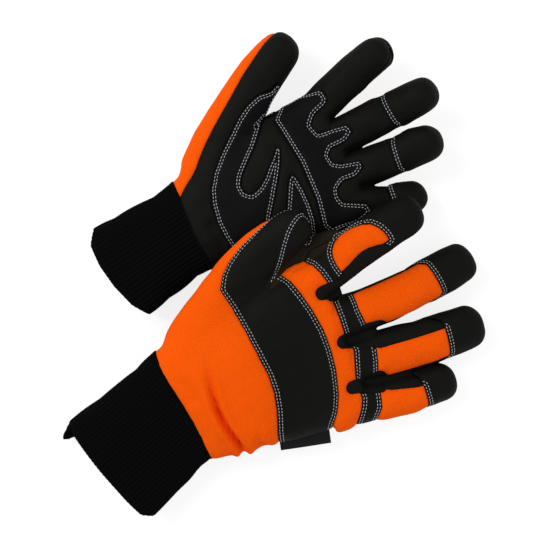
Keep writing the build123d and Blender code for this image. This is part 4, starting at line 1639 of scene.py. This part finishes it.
class GLOVES_OT_lining(bpy.types.Operator):
    """Makes the fleece inside each hand, seen through the cuff."""

    bl_idname = "gloves.lining"
    bl_label = "Lining"

    def execute(self, context):
        for side, hand in HANDS.items():
            form = remeshed(hand, FLEECE_VOXEL, FLEECE_SMOOTHING, drawn_in=FLEECE_DEPTH)
            points, normals, triangles = arrays(form)
            bpy.data.objects.remove(form)
            triangles = triangles[points[triangles][:, :, 0].min(1) > FLEECE_START]
            used, local = np.unique(triangles, return_inverse=True)
            points, outwards = points[used], normals[used] * (0.0, 1.0, 1.0)
            flare = FLEECE_FLARE * smoothstep(7.0, -1.0, points[:, 0])
            points = settled(points + normals[used] * (0.4 * ripple(points, 9.0, 11))[:, None]
                             + outwards * flare[:, None])
            piece = new_object(f"{side}_fleece", points, local.reshape(-1, 3))
            finish_modifier(piece, "SOLIDIFY", thickness=FLEECE_THICKNESS, offset=-1.0)
            piece.data.shade_smooth()
            put(hand, piece, "fleece", material("fleece"), f"{side}_lining", f"{side}_insulation")
        return {"FINISHED"}


CAMERA_HEIGHT, CAMERA_OVER = 0.8, (0.003395, -0.005085)
CAMERA_TURN, CAMERA_LENS, CAMERA_SENSOR = -30.0, 70.6, 36.0
FLOOR_REACH, FLOOR_GLOW, FLOOR_GLOW_SHARE, SKY_STRENGTH = 3.0, 1.1, 0.75, 0.55
# Each lamp's place, its size and its power
LAMPS = {
    "key_light": ((-0.45, 0.85, 1.1), 0.6, 12.8),
    "fill_light": ((0.9, -0.5, 0.9), 1.0, 3.5),
    "far_light": ((0.0, -1.1, 0.5), 0.8, 1.5),
}


def area_light(name, place, size, power):
    lamp = bpy.data.lights.new(name, "AREA")
    lamp.shape, lamp.size, lamp.energy = "SQUARE", size, power
    piece = bpy.data.objects.new(name, lamp)
    bpy.context.scene.collection.objects.link(piece)
    piece.location = place
    piece.rotation_euler = (-Vector(place)).to_track_quat("-Z", "Y").to_euler()


class GLOVES_OT_stage(bpy.types.Operator):
    """Sets the floor, the lights and the camera over the gloves."""

    bl_idname = "gloves.stage"
    bl_label = "Stage"

    def execute(self, context):
        scene = context.scene
        corners = [(x * FLOOR_REACH, y * FLOOR_REACH, 0) for x, y in ((-1, -1), (1, -1), (1, 1), (-1, 1))]
        floor = new_object("floor", corners, [(0, 1, 2, 3)])
        shader = Shader("floor")
        pale = shader.node("ShaderNodeBsdfDiffuse", None, {"Color": (0.9, 0.9, 0.9, 1.0)})
        glow = shader.node("ShaderNodeEmission", None, {"Strength": FLOOR_GLOW})
        seen = Value(shader, shader.node("ShaderNodeLightPath").outputs["Is Camera Ray"])
        both = shader.node("ShaderNodeMixShader", None, {0: seen * FLOOR_GLOW_SHARE})
        shader.tree.links.new(pale.outputs[0], both.inputs[1])
        shader.tree.links.new(glow.outputs[0], both.inputs[2])
        shader.tree.links.new(both.outputs[0], shader.node("ShaderNodeOutputMaterial").inputs[0])
        floor.data.materials.append(shader.material)

        world = bpy.data.worlds.new("studio")
        scene.world = world
        world.use_nodes = True
        tree = world.node_tree
        tree.nodes.clear()
        paths = tree.nodes.new("ShaderNodeLightPath")
        light = tree.nodes.new("ShaderNodeBackground")
        white = tree.nodes.new("ShaderNodeBackground")
        light.inputs["Strength"].default_value = SKY_STRENGTH
        choice = tree.nodes.new("ShaderNodeMixShader")
        output = tree.nodes.new("ShaderNodeOutputWorld")
        tree.links.new(paths.outputs["Is Camera Ray"], choice.inputs[0])
        tree.links.new(light.outputs[0], choice.inputs[1])
        tree.links.new(white.outputs[0], choice.inputs[2])
        tree.links.new(choice.outputs[0], output.inputs[0])
        for node in (light, white):
            node.inputs["Color"].default_value = (1.0, 1.0, 1.0, 1.0)

        for name, (place, size, power) in LAMPS.items():
            area_light(name, place, size, power)

        lens = bpy.data.cameras.new("camera")
        lens.lens, lens.sensor_width, lens.clip_start = CAMERA_LENS, CAMERA_SENSOR, 0.01
        camera = bpy.data.objects.new("camera", lens)
        scene.collection.objects.link(camera)
        camera.location = (*CAMERA_OVER, CAMERA_HEIGHT)
        camera.rotation_euler = (0.0, 0.0, math.radians(CAMERA_TURN))
        scene.camera = camera
        scene.view_settings.view_transform = "Standard"
        return {"FINISHED"}


OPERATORS = (GLOVES_OT_panels, GLOVES_OT_stitching, GLOVES_OT_cuffs, GLOVES_OT_bindings, GLOVES_OT_label,
             GLOVES_OT_lining, GLOVES_OT_stage)


class GLOVES_PT_panel(bpy.types.Panel):
    """Lists the steps that make the gloves, with their sizes and colours."""

    bl_idname = "GLOVES_PT_panel"
    bl_label = "Insulated Work Gloves"
    bl_space_type = "VIEW_3D"
    bl_region_type = "UI"
    bl_category = "Gloves"

    def draw(self, context):
        layout = self.layout
        for settings in (context.scene.glove_sizes, context.scene.glove_colours):
            for name in settings.bl_rna.properties.keys():
                if name not in ("rna_type", "name"):
                    layout.prop(settings, name)
        for operator in OPERATORS:
            layout.operator(operator.bl_idname)


CLASSES = (GloveSizes, GloveColours, *OPERATORS, GLOVES_PT_panel)


def register():
    for cls in CLASSES:
        bpy.utils.register_class(cls)
    bpy.types.Scene.glove_sizes = PointerProperty(type=GloveSizes)
    bpy.types.Scene.glove_colours = PointerProperty(type=GloveColours)


def unregister():
    del bpy.types.Scene.glove_colours
    del bpy.types.Scene.glove_sizes
    for cls in reversed(CLASSES):
        bpy.utils.unregister_class(cls)


def main():
    register()
    for operator in OPERATORS:
        getattr(bpy.ops.gloves, operator.bl_idname.split(".")[1])()


if __name__ == "__main__":
    main()
